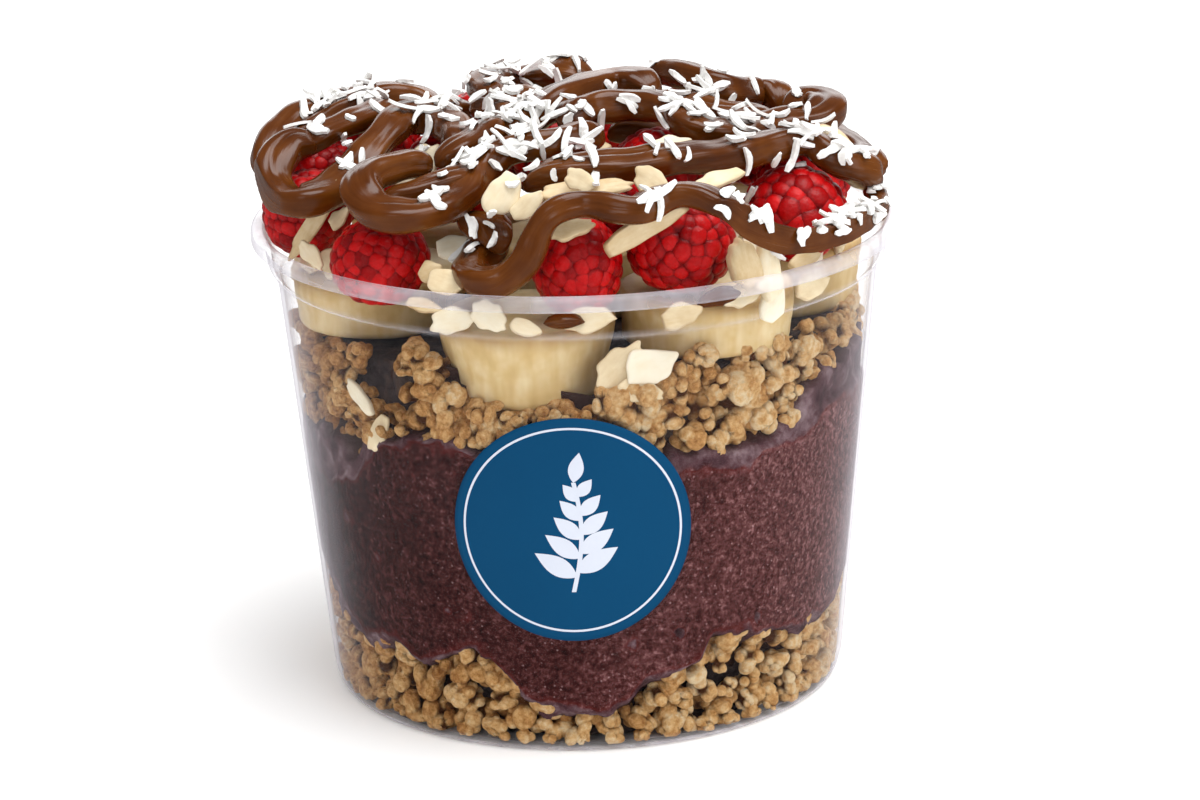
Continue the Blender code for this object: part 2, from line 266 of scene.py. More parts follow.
def disc_faces(rings, around):
    """Open skin over a first point and the rings round it."""
    faces = [[0, 1 + step, 1 + (step + 1) % around] for step in range(around)]
    return faces + [[index + 1 for index in face] for face in ring_faces(rings, around)]


def turned(profile, steps):
    """Points and faces of a profile (radius, z) with both ends on the axis, turned about Z."""
    angles = full_turn(steps)
    rings = [ring_at(angles, radius, z) for radius, z in profile[1:-1]]
    tips = [[0.0, 0.0, profile[0][1]], [0.0, 0.0, profile[-1][1]]]
    return np.concatenate(rings + [tips]), capped_rings(len(rings), steps)


def azimuth_of(points):
    return np.degrees(np.arctan2(points[:, 0], -points[:, 1]))


def turn(angles):
    """Rotation matrix from turns in degrees about X, then Y, then Z."""
    x, y, z = (math.radians(angle) for angle in angles)
    return np.array((Matrix.Rotation(z, 3, "Z") @ Matrix.Rotation(y, 3, "Y")
                     @ Matrix.Rotation(x, 3, "X")))


def random_turn(rng):
    """Rotation matrix about a random axis."""
    axis = Vector(rng.normal(size=3)).normalized()
    return np.array(Matrix.Rotation(rng.uniform(0.0, math.tau), 3, axis))


def lattice_noise(points, scale, seed):
    """Smooth noise from -1 to 1 over an array of points, one knot every scale millimetres."""
    grid = np.random.default_rng(seed).uniform(-1.0, 1.0, (32, 32, 32))
    place = np.asarray(points) / scale + 500.0
    cell = np.floor(place).astype(int)
    share = place - cell
    share = share * share * (3.0 - 2.0 * share)
    total = np.zeros(len(place))
    for corner in np.ndindex(2, 2, 2):
        weight = np.ones(len(place))
        for axis in range(3):
            weight *= share[:, axis] if corner[axis] else 1.0 - share[:, axis]
        index = (cell + corner) % 32
        total += weight * grid[index[:, 0], index[:, 1], index[:, 2]]
    return total


def layered_noise(points, *layers):
    """Sum of lattice noises, each given as strength, scale, seed."""
    return sum(strength * lattice_noise(points, scale, seed) for strength, scale, seed in layers)


def fade(values, start, end):
    """0 up to start, 1 past end and even in between; end may lie below start."""
    return np.clip((values - start) / (end - start), 0.0, 1.0)


def hump(values, centre, width):
    """Soft hump of height 1."""
    return np.exp(-((values - centre) / width) ** 2)


def angle_between(angles, other):
    """Signed difference of two angles, at most half a turn."""
    return np.angle(np.exp(1j * (angles - other)))


# ---------------------------------------------------------------- helpers for materials
class Shader:
    """Small wrapper that makes and links nodes."""

    def __init__(self, name):
        self.material = bpy.data.materials.new(name)
        self.material.use_nodes = True
        self.tree = self.material.node_tree
        self.tree.nodes.clear()
        self.output = self.node("ShaderNodeOutputMaterial")

    def node(self, kind, inputs=None, **settings):
        node = self.tree.nodes.new(kind)
        for key, value in settings.items():
            setattr(node, key, value)
        for key, value in (inputs or {}).items():
            if isinstance(value, bpy.types.NodeSocket):
                self.tree.links.new(value, node.inputs[key])
            else:
                node.inputs[key].default_value = value
        return node

    def finish(self, surface):
        self.tree.links.new(surface, self.output.inputs["Surface"])
        return self.material

    def place(self):
        return self.node("ShaderNodeTexCoord").outputs["Object"]

    def value(self, name):
        return self.node("ShaderNodeAttribute", attribute_name=name).outputs["Fac"]

    def vector(self, name):
        return self.node("ShaderNodeAttribute", attribute_name=name).outputs["Vector"]

    def scaled(self, source, scale):
        return self.node("ShaderNodeMapping", {"Vector": source, "Scale": scale}).outputs[0]

    def noise(self, source, scale, detail, rough):
        return self.node("ShaderNodeTexNoise", {
            "Vector": source, "Scale": scale, "Detail": detail,
            "Roughness": rough}).outputs["Fac"]

    def cells(self, source, scale):
        return self.node("ShaderNodeTexVoronoi", {
            "Vector": source, "Scale": scale}).outputs["Distance"]

    def math(self, operation, first, second):
        return self.node("ShaderNodeMath", {0: first, 1: second}, operation=operation).outputs[0]

    def weighted(self, *parts):
        """Sum of sources, each times its weight."""
        total, *others = [self.math("MULTIPLY", source, weight) for source, weight in parts]
        for term in others:
            total = self.math("ADD", total, term)
        return total

    def painted_side_light(self, place, left, right):
        """Painted light from the right: a value that changes evenly from the left side of the tub to
        its right side.
        """
        across = self.node("ShaderNodeSeparateXYZ", {"Vector": place}).outputs["X"]
        return self.remap(across, -45.0 * MM, 45.0 * MM, left, right)

    def remap(self, source, low, high, to_low=0.0, to_high=1.0):
        return self.node("ShaderNodeMapRange", {
            "Value": source, "From Min": low, "From Max": high, "To Min": to_low,
            "To Max": to_high}).outputs["Result"]

    def ramp(self, source, stops):
        node = self.node("ShaderNodeValToRGB", {"Fac": source})
        elements = node.color_ramp.elements
        while len(elements) < len(stops):
            elements.new(0.5)
        for element, (position, colour) in zip(elements, stops):
            element.position = position
            element.color = (*colour, 1.0)
        return node.outputs["Color"]

    def mix(self, share, first, second):
        """Colour between two colours, each a socket or a plain colour (inputs 6 and 7)."""
        first, second = (value if isinstance(value, bpy.types.NodeSocket) else (*value, 1.0)
                         for value in (first, second))
        return self.node("ShaderNodeMix", {0: share, 6: first, 7: second},
                         data_type="RGBA").outputs[2]

    def bump(self, height, distance, strength):
        """Normal from a height; the distance is in millimetres."""
        return self.node("ShaderNodeBump", {
            "Height": height, "Distance": distance * MM, "Strength": strength}).outputs["Normal"]

    def coated(self, colour, roughness, normal, specular, **more):
        """Finish the material as one Principled surface."""
        inputs = {"Base Color": colour, "Roughness": roughness, "Normal": normal,
                  "Specular IOR Level": specular}
        inputs.update({key.replace("_", " "): value for key, value in more.items()})
        return self.finish(self.node("ShaderNodeBsdfPrincipled", inputs).outputs["BSDF"])


def per_mm(scale):
    """Texture scale for one repeat every 1 / scale millimetres of object space."""
    return scale / MM


def granola_material():
    s = Shader("granola")
    place = s.place()
    grain = s.noise(place, per_mm(0.7), 6.0, 0.75)
    crumbs = s.cells(place, per_mm(0.95))
    # painted side light: the granola is darker on the tub's left side and lighter on its right
    mixed = s.weighted((grain, 1.0), (s.value("tone"), 0.34), (crumbs, -0.16),
                       (s.painted_side_light(place, -0.13, 0.02), 1.0))
    colour = s.ramp(mixed, [
        (0.14, (0.170, 0.058, 0.013)), (0.31, (0.410, 0.175, 0.048)),
        (0.46, (0.640, 0.335, 0.115)), (0.60, (0.800, 0.500, 0.220)),
        (0.78, (0.900, 0.700, 0.430))])
    # painted shade: dark brown where depth is low, in the creases and hollows between nodules
    colour = s.mix(s.remap(s.value("depth"), 0.0, 0.60), (0.085, 0.026, 0.006), colour)
    # painted shade: near-black colour of the body behind the clusters, seen in their gaps
    shade_colour = s.ramp(s.noise(place, per_mm(0.16), 5.0, 0.65), [
        (0.32, (0.024, 0.019, 0.021)), (0.50, (0.058, 0.042, 0.044)),
        (0.68, (0.130, 0.083, 0.062))])
    colour = s.mix(s.value("mud"), colour, shade_colour)
    normal = s.bump(s.weighted((grain, 1.0), (crumbs, -0.5)), 0.9, 1.2)
    return s.coated(colour, 0.62, normal, 0.15)


def acai_material():
    s = Shader("acai")
    place = s.place()
    contact = s.value("contact")
    broad = s.noise(place, per_mm(0.06), 4.0, 0.6)
    grain = s.noise(place, per_mm(0.95), 4.0, 0.80)
    fine = s.noise(place, per_mm(1.9), 2.0, 0.6)
    dots = s.remap(s.cells(place, per_mm(0.95)), 0.10, 0.24, 1.0, 0.0)
    # painted side light: the acai is darker on the tub's left side and lighter on its right
    side = s.painted_side_light(place, -0.09, 0.06)
    colour = s.ramp(s.weighted((broad, 0.18), (grain, 0.82), (side, 1.0)), [
        (0.32, (0.011, 0.002, 0.002)), (0.45, (0.038, 0.008, 0.007)),
        (0.56, (0.095, 0.029, 0.028)), (0.68, (0.260, 0.120, 0.120))])
    ice = s.math("MULTIPLY", dots, s.remap(fine, 0.45, 0.60))
    # painted side light: the ice flecks show more strongly on the right
    ice = s.math("MULTIPLY", ice, s.remap(side, -0.10, 0.08, 0.30, 0.75))
    colour = s.mix(ice, colour, (0.42, 0.25, 0.26))
    juice = s.math("MULTIPLY", s.remap(contact, 0.35, 0.75, 1.0, 0.0),
                   s.remap(contact, 0.05, 0.30))
    colour = s.mix(s.math("MULTIPLY", juice, 0.40), colour, (0.110, 0.012, 0.010))
    mist = s.ramp(s.noise(place, per_mm(0.22), 4.0, 0.65), [
        (0.34, (0.040, 0.014, 0.018)), (0.50, (0.100, 0.048, 0.056)),
        (0.68, (0.240, 0.165, 0.180))])
    mist = s.mix(s.value("near"), (0.045, 0.020, 0.015), mist)
    colour = s.mix(s.remap(contact, 0.0, 0.30), mist, colour)
    normal = s.bump(s.weighted((grain, 0.7), (fine, 0.3)), 0.35, 0.8)
    return s.coated(colour, 0.50, normal, 0.04)


def banana_material():
    s = Shader("banana")
    local = s.vector("local")
    fibres = s.noise(s.scaled(local, (1.0, 1.0, 0.05)), 0.55, 3.0, 0.50)
    blotch = s.noise(local, 0.14, 3.0, 0.55)
    cut_side = s.ramp(s.weighted((fibres, 0.35), (blotch, 0.65)), [
        (0.30, (0.510, 0.325, 0.115)), (0.48, (0.640, 0.460, 0.210)),
        (0.66, (0.760, 0.620, 0.370))])
    face = s.ramp(blotch, [
        (0.35, (0.640, 0.480, 0.220)), (0.65, (0.800, 0.680, 0.430))])
    colour = s.mix(s.value("side"), face, cut_side)
    bruise = s.math("MULTIPLY", s.value("rim"), s.remap(blotch, 0.35, 0.60, 0.25, 0.85))
    colour = s.mix(bruise, colour, (0.330, 0.165, 0.050))
    normal = s.bump(fibres, 0.30, 0.20)
    return s.coated(colour, 0.42, normal, 0.22, Subsurface_Weight=0.15,
                    Subsurface_Radius=(1.0, 0.6, 0.3), Subsurface_Scale=0.002)


def raspberry_material():
    s = Shader("raspberry")
    place = s.place()
    haze = s.noise(place, per_mm(0.35), 3.0, 0.6)
    colour = s.ramp(s.weighted((s.value("tone"), 0.50), (haze, 0.50)), [
        (0.18, (0.220, 0.001, 0.002)), (0.48, (0.390, 0.001, 0.002)),
        (0.80, (0.600, 0.005, 0.006))])
    # painted shade: dark red where the drupelets meet and on the core seen between them
    colour = s.mix(s.remap(s.value("cleft"), 0.0, 0.60), (0.150, 0.001, 0.002), colour)
    normal = s.bump(s.noise(place, per_mm(1.6), 3.0, 0.6), 0.30, 0.5)
    return s.coated(colour, 0.33, normal, 0.22, Subsurface_Weight=0.20,
                    Subsurface_Radius=(1.0, 0.20, 0.12), Subsurface_Scale=0.0015)


def spread_material():
    s = Shader("chocolate_spread")
    broad = s.noise(s.place(), per_mm(0.11), 3.0, 0.5)
    pulls = s.noise(s.scaled(s.vector("local"), (0.10, 1.0, 1.0)), 1.1, 3.0, 0.55)
    colour = s.ramp(s.weighted((broad, 0.7), (pulls, 0.3)), [
        (0.32, (0.058, 0.013, 0.001)), (0.52, (0.098, 0.025, 0.002)),
        (0.74, (0.152, 0.046, 0.006))])
    normal = s.bump(pulls, 0.35, 0.30)
    return s.coated(colour, s.remap(pulls, 0.3, 0.7, 0.17, 0.28), normal, 0.36)


def almond_material():
    s = Shader("almond")
    local = s.vector("local")
    fibres = s.noise(s.scaled(local, (0.25, 1.0, 1.0)), 1.8, 4.0, 0.6)
    blotch = s.noise(local, 0.35, 3.0, 0.6)
    colour = s.ramp(s.weighted((fibres, 0.22), (s.value("tone"), 0.45), (blotch, 0.33)), [
        (0.25, (0.600, 0.430, 0.220)), (0.50, (0.780, 0.650, 0.430)),
        (0.75, (0.860, 0.790, 0.630))])
    colour = s.mix(s.math("MULTIPLY", s.value("edge"), 0.85), colour, (0.270, 0.115, 0.035))
    normal = s.bump(fibres, 0.08, 0.4)
    return s.coated(colour, 0.50, normal, 0.40)


def coconut_material():
    s = Shader("coconut")
    grain = s.noise(s.place(), per_mm(0.9), 3.0, 0.6)
    colour = s.ramp(grain, [(0.30, (0.790, 0.780, 0.750)), (0.60, (0.900, 0.895, 0.880))])
    normal = s.bump(grain, 0.20, 0.5)
    return s.coated(colour, 0.55, normal, 0.35)


def plastic_material():
    """Thin clear plastic: faint gloss, a little milkiness that grows at grazing angles."""
    s = Shader("clear_plastic")
    smear = s.noise(s.scaled(s.place(), (1.0, 1.0, 0.45)), per_mm(0.06), 4.0, 0.6)
    facing = s.node("ShaderNodeLayerWeight", {"Blend": 0.5}).outputs["Facing"]
    haze = s.weighted((s.math("POWER", facing, 8.0), 1.30),
                      (s.value("film"), s.remap(smear, 0.35, 0.70, 0.45, 1.25)))
    front = s.math("SUBTRACT", 1.0, s.node("ShaderNodeNewGeometry").outputs["Backfacing"])
    haze = s.math("MULTIPLY", s.math("MINIMUM", haze, 0.85), front)
    milk = s.mix(smear, (0.62, 0.575, 0.640), (0.84, 0.82, 0.87))
    milky = s.node("ShaderNodeBsdfDiffuse", {"Color": milk}).outputs[0]
    clear = s.node("ShaderNodeBsdfTransparent", {"Color": (0.99, 0.99, 0.99, 1.0)}).outputs[0]
    body = s.node("ShaderNodeMixShader", {0: haze, 1: clear, 2: milky}).outputs[0]
    gloss = s.node("ShaderNodeBsdfGlossy", {
        "Color": (1.0, 1.0, 1.0, 1.0), "Roughness": 0.08}).outputs[0]
    mirror = s.math("MULTIPLY", s.math("POWER", facing, 3.0), 0.28)
    mirror = s.math("MULTIPLY", s.math("ADD", mirror, 0.004), front)
    surface = s.node("ShaderNodeMixShader", {0: mirror, 1: body, 2: gloss}).outputs[0]
    return s.finish(surface)


def label_material(name, base, lighter):
    s = Shader(name)
    place = s.place()
    paper = s.noise(place, per_mm(1.2), 3.0, 0.6)
    shade = s.noise(place, per_mm(0.04), 2.0, 0.5)
    colour = s.mix(s.weighted((paper, 0.3), (shade, 0.7)), base, lighter)
    normal = s.bump(paper, 0.05, 0.4)
    return s.coated(colour, 0.45, normal, 0.06)


def stage_material():
    s = Shader("stage_floor")
    soft = s.noise(s.place(), 1.5, 2.0, 0.5)
    colour = s.mix(soft, (0.955, 0.955, 0.955), (0.965, 0.965, 0.965))
    mirrored = s.node("ShaderNodeLightPath").outputs["Is Glossy Ray"]
    colour = s.mix(mirrored, colour, (0.22, 0.22, 0.22))
    return s.finish(s.node("ShaderNodeBsdfDiffuse", {"Color": colour}).outputs[0])


PLASTIC = plastic_material()
GRANOLA = granola_material()
ACAI = acai_material()
BANANA = banana_material()
RASPBERRY = raspberry_material()
SPREAD = spread_material()
ALMOND = almond_material()
COCONUT = coconut_material()
LABEL_BLUE = label_material("label_blue", (0.001, 0.049, 0.126), (0.002, 0.062, 0.154))
LABEL_PALE = label_material("label_pale", (0.560, 0.600, 0.700), (0.680, 0.710, 0.790))


# ---------------------------------------------------------------- tub
def wall_radius(z):
    return WALL_FOOT_RADIUS + WALL_SLOPE * (z - WALL_FOOT_Z)


def inner_radius(z):
    """Inside of the wall, up to the step and above it."""
    z = np.asarray(z, float)
    return np.where(z < STEP_Z, wall_radius(z) - WALL_THICKNESS,
                    COLLAR_RADIUS + COLLAR_SLOPE * (z - COLLAR_FOOT_Z))


def rounded(profile, radius, steps):
    """Round each inner corner of an open profile with a short arc."""
    result = [profile[0]]
    for before, corner, after in zip(profile, profile[1:], profile[2:]):
        corner_point = np.array(corner)
        to_before = np.array(before) - corner_point
        to_after = np.array(after) - corner_point
        reach = min(radius, 0.45 * np.hypot(*to_before), 0.45 * np.hypot(*to_after))
        start = corner_point + to_before / np.hypot(*to_before) * reach
        end = corner_point + to_after / np.hypot(*to_after) * reach
        for share in np.linspace(0.0, 1.0, steps):
            first = start + (corner_point - start) * share
            second = corner_point + (end - corner_point) * share
            result.append(tuple(first + (second - first) * share))
    result.append(profile[-1])
    return result


def add_tub():
    """Thin shell: floor, wall, step and rolled rim up the inside, then down the outside."""
    step_radius = wall_radius(STEP_Z)
    profile = [
        (0.0, FLOOR_Z), (44.3, FLOOR_Z), (45.6, 1.5),
        (WALL_FOOT_RADIUS - WALL_THICKNESS, WALL_FOOT_Z), (step_radius - WALL_THICKNESS, 77.7),
        (COLLAR_RADIUS, COLLAR_FOOT_Z), (55.2, 83.0), (56.0, 85.4), (56.6, TUB_HEIGHT),
        (57.7, TUB_HEIGHT), (58.35, 85.5), (RIM_RADIUS, 84.7), (RIM_RADIUS, 83.4), (56.2, 83.2),
        (55.6, 79.2), (55.1, 78.2), (step_radius, STEP_Z), (WALL_FOOT_RADIUS, WALL_FOOT_Z),
        (46.4, 0.9), (45.6, 0.0), (43.6, 0.0), (43.0, 0.5), (0.0, 0.5),
    ]
    points, faces = turned(rounded(profile, 0.5, 4), 192)
    height = points[:, 2]
    azimuth = azimuth_of(points)
    film = 0.44 * fade(height, 82.9, 83.4) + 0.22 * fade(np.abs(height - 78.2), 1.2, 0.0)
    film += 0.45 * fade(height, 1.6, 0.8)
    # painted sheen: extra milkiness at the wall's left and right edges as seen from the front, over
    # the plastic's own milkiness
    edge_sheen = 0.30 * hump(azimuth, -78.0, 15.0) * fade(height, 38.0, 56.0)
    edge_sheen += 0.16 * hump(azimuth, -72.0, 14.0) * fade(height, 26.0, 20.0)
    edge_sheen += 0.11 * hump(azimuth, 80.0, 13.0)
    edge_sheen += 0.38 * hump(azimuth, -63.0, 8.0) * hump(height, 56.0, 9.0)
    tub = add_mesh("tub_clear", points, faces, PLASTIC, values={"film": film + edge_sheen})
    declare(tub, "tub")


# ---------------------------------------------------------------- label
def on_wall(flat, lift):
    """Wrap flat label points (across, up) on the wall, lifted off it."""
    flat = np.asarray(flat, float)
    z = LABEL_CENTRE_Z + flat[:, 1]
    angles = math.radians(LABEL_CENTRE_AZIMUTH) + flat[:, 0] / wall_radius(z)
    return ring_at(angles, wall_radius(z) + lift, z)


def leaf_shape(base, angle, length, width):
    """Outline strip of a pointed leaf on the flat label: pairs of left and right points."""
    along = np.array([math.cos(angle), math.sin(angle)])
    aside = np.array([-along[1], along[0]])
    rows = []
    for share in np.linspace(0.0, 1.0, 14):
        half = width * math.sin(math.pi * share ** 0.85) + 0.02
        middle = np.array(base) + along * length * share
        rows.append([middle - aside * half, middle + aside * half])
    return rows


def motif_strips():
    """The printed sign as flat strips: a thin ring, and a bent stem with pairs of leaves."""
    ring = [[(18.7 * math.cos(a), 18.7 * math.sin(a)), (19.1 * math.cos(a), 19.1 * math.sin(a))]
            for a in np.linspace(0.0, math.tau, 121)]
    foot, length = -11.5, 20.5
    stem = [(1.6 * math.sin((y - foot) / length * math.pi * 0.9), y)
            for y in np.linspace(foot, foot + length, 30)]
    strips = [ring, [[(x - 0.38, y), (x + 0.38, y)] for x, y in stem]]
    for pair, share in enumerate((0.14, 0.32, 0.50, 0.68, 0.86)):
        x, y = stem[int(share * (len(stem) - 1))]
        opening = math.radians(58.0 - 5.0 * pair)
        for sign, base in ((-1.0, (x, y)), (1.0, (x, y + 0.9))):
            strips.append(leaf_shape(base, math.pi / 2.0 - sign * opening, 8.4 - 1.1 * pair,
                                     1.75 - 0.16 * pair))
    return strips + [leaf_shape(stem[-1], math.radians(78.0), 5.6, 1.3)]


def add_label():
    """A round blue sticker on the wall, and the sign printed on it."""
    back_lift, face_lift, print_lift = 0.05, 0.28, 0.31
    rings = 24
    steps = 96
    flat = [(0.0, 0.0)]
    for ring in range(1, rings + 1):
        reach = LABEL_RADIUS * ring / rings
        flat += [(reach * math.cos(a), reach * math.sin(a)) for a in full_turn(steps)]
    count = len(flat)
    faces = disc_faces(rings, steps)
    faces += [[index + count for index in face[::-1]] for face in faces]
    outer = count - steps
    for step in range(steps):
        here = outer + step
        following = outer + (step + 1) % steps
        faces.append([here, count + here, count + following, following])
    points = np.concatenate([on_wall(flat, face_lift), on_wall(flat, back_lift)])
    disc = add_mesh("label_disc", points, faces, LABEL_BLUE)

    points = []
    faces = []
    for strip in motif_strips():
        for row in range(len(points), len(points) + 2 * len(strip) - 2, 2):
            faces.append([row, row + 1, row + 3, row + 2])
        points += [point for pair in strip for point in pair]
    motif = add_mesh("label_motif", on_wall(points, print_lift), faces, LABEL_PALE, outward=False)
    for item in (disc, motif):
        declare(item, "label")


# ---------------------------------------------------------------- layers
def boundary(table, azimuth):
    """Smooth periodic height between the (azimuth, z) pairs of a table, for arrays."""
    angles = np.array([angle for angle, _ in table], float)
    heights = np.array([z for _, z in table], float)
    angles = np.concatenate([angles[-1:] - 360.0, angles, angles[:1] + 360.0])
    heights = np.concatenate([heights[-1:], heights, heights[:1]])
    azimuth = (np.asarray(azimuth, float) + 180.0) % 360.0 - 180.0
    place = np.clip(np.searchsorted(angles, azimuth, "right") - 1, 0, len(angles) - 2)
    share = (azimuth - angles[place]) / (angles[place + 1] - angles[place])
    share = share * share * (3.0 - 2.0 * share)
    return heights[place] + (heights[place + 1] - heights[place]) * share


def height_at(table, azimuth):
    return float(boundary(table, [azimuth])[0])


# Edges of the part of the acai that is pressed on the wall: azimuth, z
CONTACT_LOW = [
    (-170, 17), (-130, 16), (-100, 20), (-82, 25), (-75, 24), (-68, 21), (-62, 19), (-56, 17),
    (-45, 17), (-39, 15), (-32, 18), (-22, 18), (-18, 15), (-14, 11), (-10, 9), (-4, 8.5),
    (3, 8), (8, 10), (13, 13), (20, 14), (24, 15), (27, 19), (34, 19), (42, 17), (52, 15),
    (60, 16), (68, 17), (76, 19), (95, 20), (130, 19),
]
CONTACT_HIGH = [
    (-170, 50), (-130, 51), (-100, 49), (-80, 46), (-54, 46), (-47, 52), (-42, 56), (-36, 57),
    (-28, 58), (-20, 56), (-8, 55), (8, 53), (20, 52), (28, 51), (34, 52), (42, 53), (50, 54),
    (58, 56), (68, 57), (80, 56), (100, 54), (130, 50),
]
# How far past those edges it stays near the wall: azimuth, mm
HAZE_LOW = [(-180, 1), (-90, 3), (-70, 5), (-58, 4), (-48, 1), (-20, 0), (-10, 2), (0, 1), (40, 0),
            (60, 2), (90, 3), (140, 1)]
HAZE_HIGH = [(-180, 2), (-90, 4), (-60, 6), (-50, 3), (-40, 0), (0, 0), (20, 1), (30, 2), (45, 3),
             (60, 6), (80, 7), (120, 3)]
# Height to which the upper granola climbs against the wall
ROOF = [
    (-170, 70), (-120, 70), (-85, 70), (-62, 69), (-48, 70), (-36, 70), (-24, 68), (-14, 64),
    (0, 64), (10, 66), (18, 69), (28, 70), (40, 70), (52, 72), (64, 69), (80, 69), (110, 70),
    (140, 70),
]


def add_acai():
    """Soft frozen mass: pressed against the wall in the middle, drawn back at its edges."""
    around = 480
    rows = 110
    core_radius = 30.0
    azimuth = np.arange(around) * 360.0 / around - 180.0
    angles = np.radians(azimuth)
    lower = np.maximum(boundary(CONTACT_LOW, azimuth) - 8.0, 4.5)
    upper = boundary(CONTACT_HIGH, azimuth) + 12.0
    rings = []
    for share in np.linspace(0.0, 1.0, rows):
        z = lower + (upper - lower) * share
        rings.append(ring_at(angles, wall_radius(z) - WALL_THICKNESS, z))
    body = np.concatenate(rings)
    ragged = layered_noise(body, (1.3, 5.5, 1), (0.9, 2.6, 2), (0.6, 1.3, 3))
    body_azimuth = np.tile(azimuth, rows)
    above = body[:, 2] - boundary(CONTACT_LOW, body_azimuth)
    below = boundary(CONTACT_HIGH, body_azimuth) - body[:, 2]
    inside = np.minimum(above, below) + ragged
    holes = layered_noise(body, (1.0, 4.2, 5), (0.5, 2.0, 6))
    inside = np.minimum(inside, 9.0 * (1.08 - holes))
    haze = np.where(above < below, boundary(HAZE_LOW, body_azimuth),
                    boundary(HAZE_HIGH, body_azimuth))
    haze *= 1.0 + 0.5 * lattice_noise(body, 4.0, 8)
    away = np.maximum(-inside, 0.0)
    contact = fade(inside, 0.0, 2.2)
    near = fade(away - haze, 1.5, 0.0)
    pull = fade(away, 0.0, 1.0) * (0.8 + 0.4 * lattice_noise(body, 3.0, 7))
    pull += 4.5 * fade(away - haze, 0.0, 3.0) - 0.2
    body[:, :2] *= (1.0 - pull / np.hypot(body[:, 0], body[:, 1]))[:, None]
    points = np.concatenate([ring_at(angles, core_radius, 16.0), body,
                             ring_at(angles, core_radius, 54.0),
                             [[0.0, 0.0, 15.5], [0.0, 0.0, 54.5]]])
    ends = (around, around + 2)
    values = {"contact": np.pad(contact, ends), "near": np.pad(near, ends)}
    item = add_mesh("acai_mass", points, capped_rings(rows + 2, around), ACAI, values=values)
    declare(item, "acai")


BALL_FINE = ball(4)
BALL_COARSE = ball(3)


def cluster(rng, size, shape):
    """A lump of crisped grains: the outline of overlapping nodules seen from its middle."""
    core = 0.40
    directions, faces = shape
    count = rng.integers(7, 17)
    centres = rng.normal(size=(count, 3))
    centres /= np.linalg.norm(centres, axis=1)[:, None]
    centres *= rng.uniform(0.40, 0.72, (count, 1))
    stretch = rng.uniform(0.72, 1.18, 3)
    radii = rng.uniform(0.26, 0.58, count)
    along = directions @ centres.T
    spare = radii ** 2 - (np.sum(centres ** 2, 1) - along ** 2)
    reach = np.where(spare > 0.0, along + np.sqrt(np.maximum(spare, 0.0)), 0.0)
    order = np.sort(reach, axis=1)
    best = reach.argmax(1)
    distance = np.maximum(order[:, -1], core)
    crease = fade(distance - np.maximum(order[:, -2], core), 0.0, 0.16)
    tones = 0.6 * rng.uniform(0.0, 1.0, count) + 0.4 * rng.uniform(0.0, 1.0)
    points = directions * distance[:, None] * stretch * size
    rough = layered_noise(points + rng.uniform(0.0, 90.0, 3), (1.0, 0.9, 21), (0.6, 0.5, 22))
    points *= (1.0 + 0.060 * rough)[:, None]
    # painted shade: darker in the hollows down to the core and in the creases between nodules
    depth = fade(distance, 0.46, 0.82) * (0.45 + 0.55 * crease)
    return points @ random_turn(rng).T, faces, tones[best], depth


def inside_wall(points, gap):
    """Press points back inside the wall and above the floor."""
    points[:, 2] = np.maximum(points[:, 2], FLOOR_Z + 0.1)
    reach = np.hypot(points[:, 0], points[:, 1])
    limit = inner_radius(points[:, 2]) - gap
    scale = np.where(reach > limit, limit / np.maximum(reach, 1e-6), 1.0)
    points[:, :2] *= scale[:, None]
    return points


def place_cluster(heap, rng, azimuth, z, size, back, shape, light=1.0):
    """Add a cluster against the wall, or set back from it and then darker by painted shade."""
    points, faces, tones, depth = cluster(rng, size, shape)
    reach = float(inner_radius(z)) - size * 0.80 - back
    angle = math.radians(azimuth)
    points = points + np.array([reach * math.sin(angle), -reach * math.cos(angle), z])
    # painted shade: a light below 1 darkens the tone and depth of set-back clusters
    heap.add(inside_wall(points, 0.12), faces, tone=tones * light, depth=depth * light, mud=0.0)


def shade_core(heap, low_edge, high_edge, behind, seed):
    """An uneven dark body just behind the clusters: painted shade in the gaps between them, so that
    nothing shows through.
    """
    around = 240
    rows = 26
    azimuth = np.arange(around) * 360.0 / around
    rings = []
    for share in np.linspace(0.0, 1.0, rows):
        z = low_edge(azimuth) * (1.0 - share) + high_edge(azimuth) * share
        rings.append(ring_at(np.radians(azimuth), inner_radius(z) - behind, z))
    points = np.concatenate(rings)
    bumps = layered_noise(points, (1.0, 5.0, seed), (0.7, 2.4, seed + 1), (0.35, 1.2, seed + 2))
    points[:, :2] *= (1.0 + 0.026 * bumps)[:, None]
    low = points[:around, 2].mean()
    high = points[-around:, 2].mean()
    points = np.concatenate([points, [[0.0, 0.0, low], [0.0, 0.0, high]]])
    heap.add(inside_wall(points, 0.5), capped_rings(rows, around), tone=0.2, depth=0.5, mud=1.0)


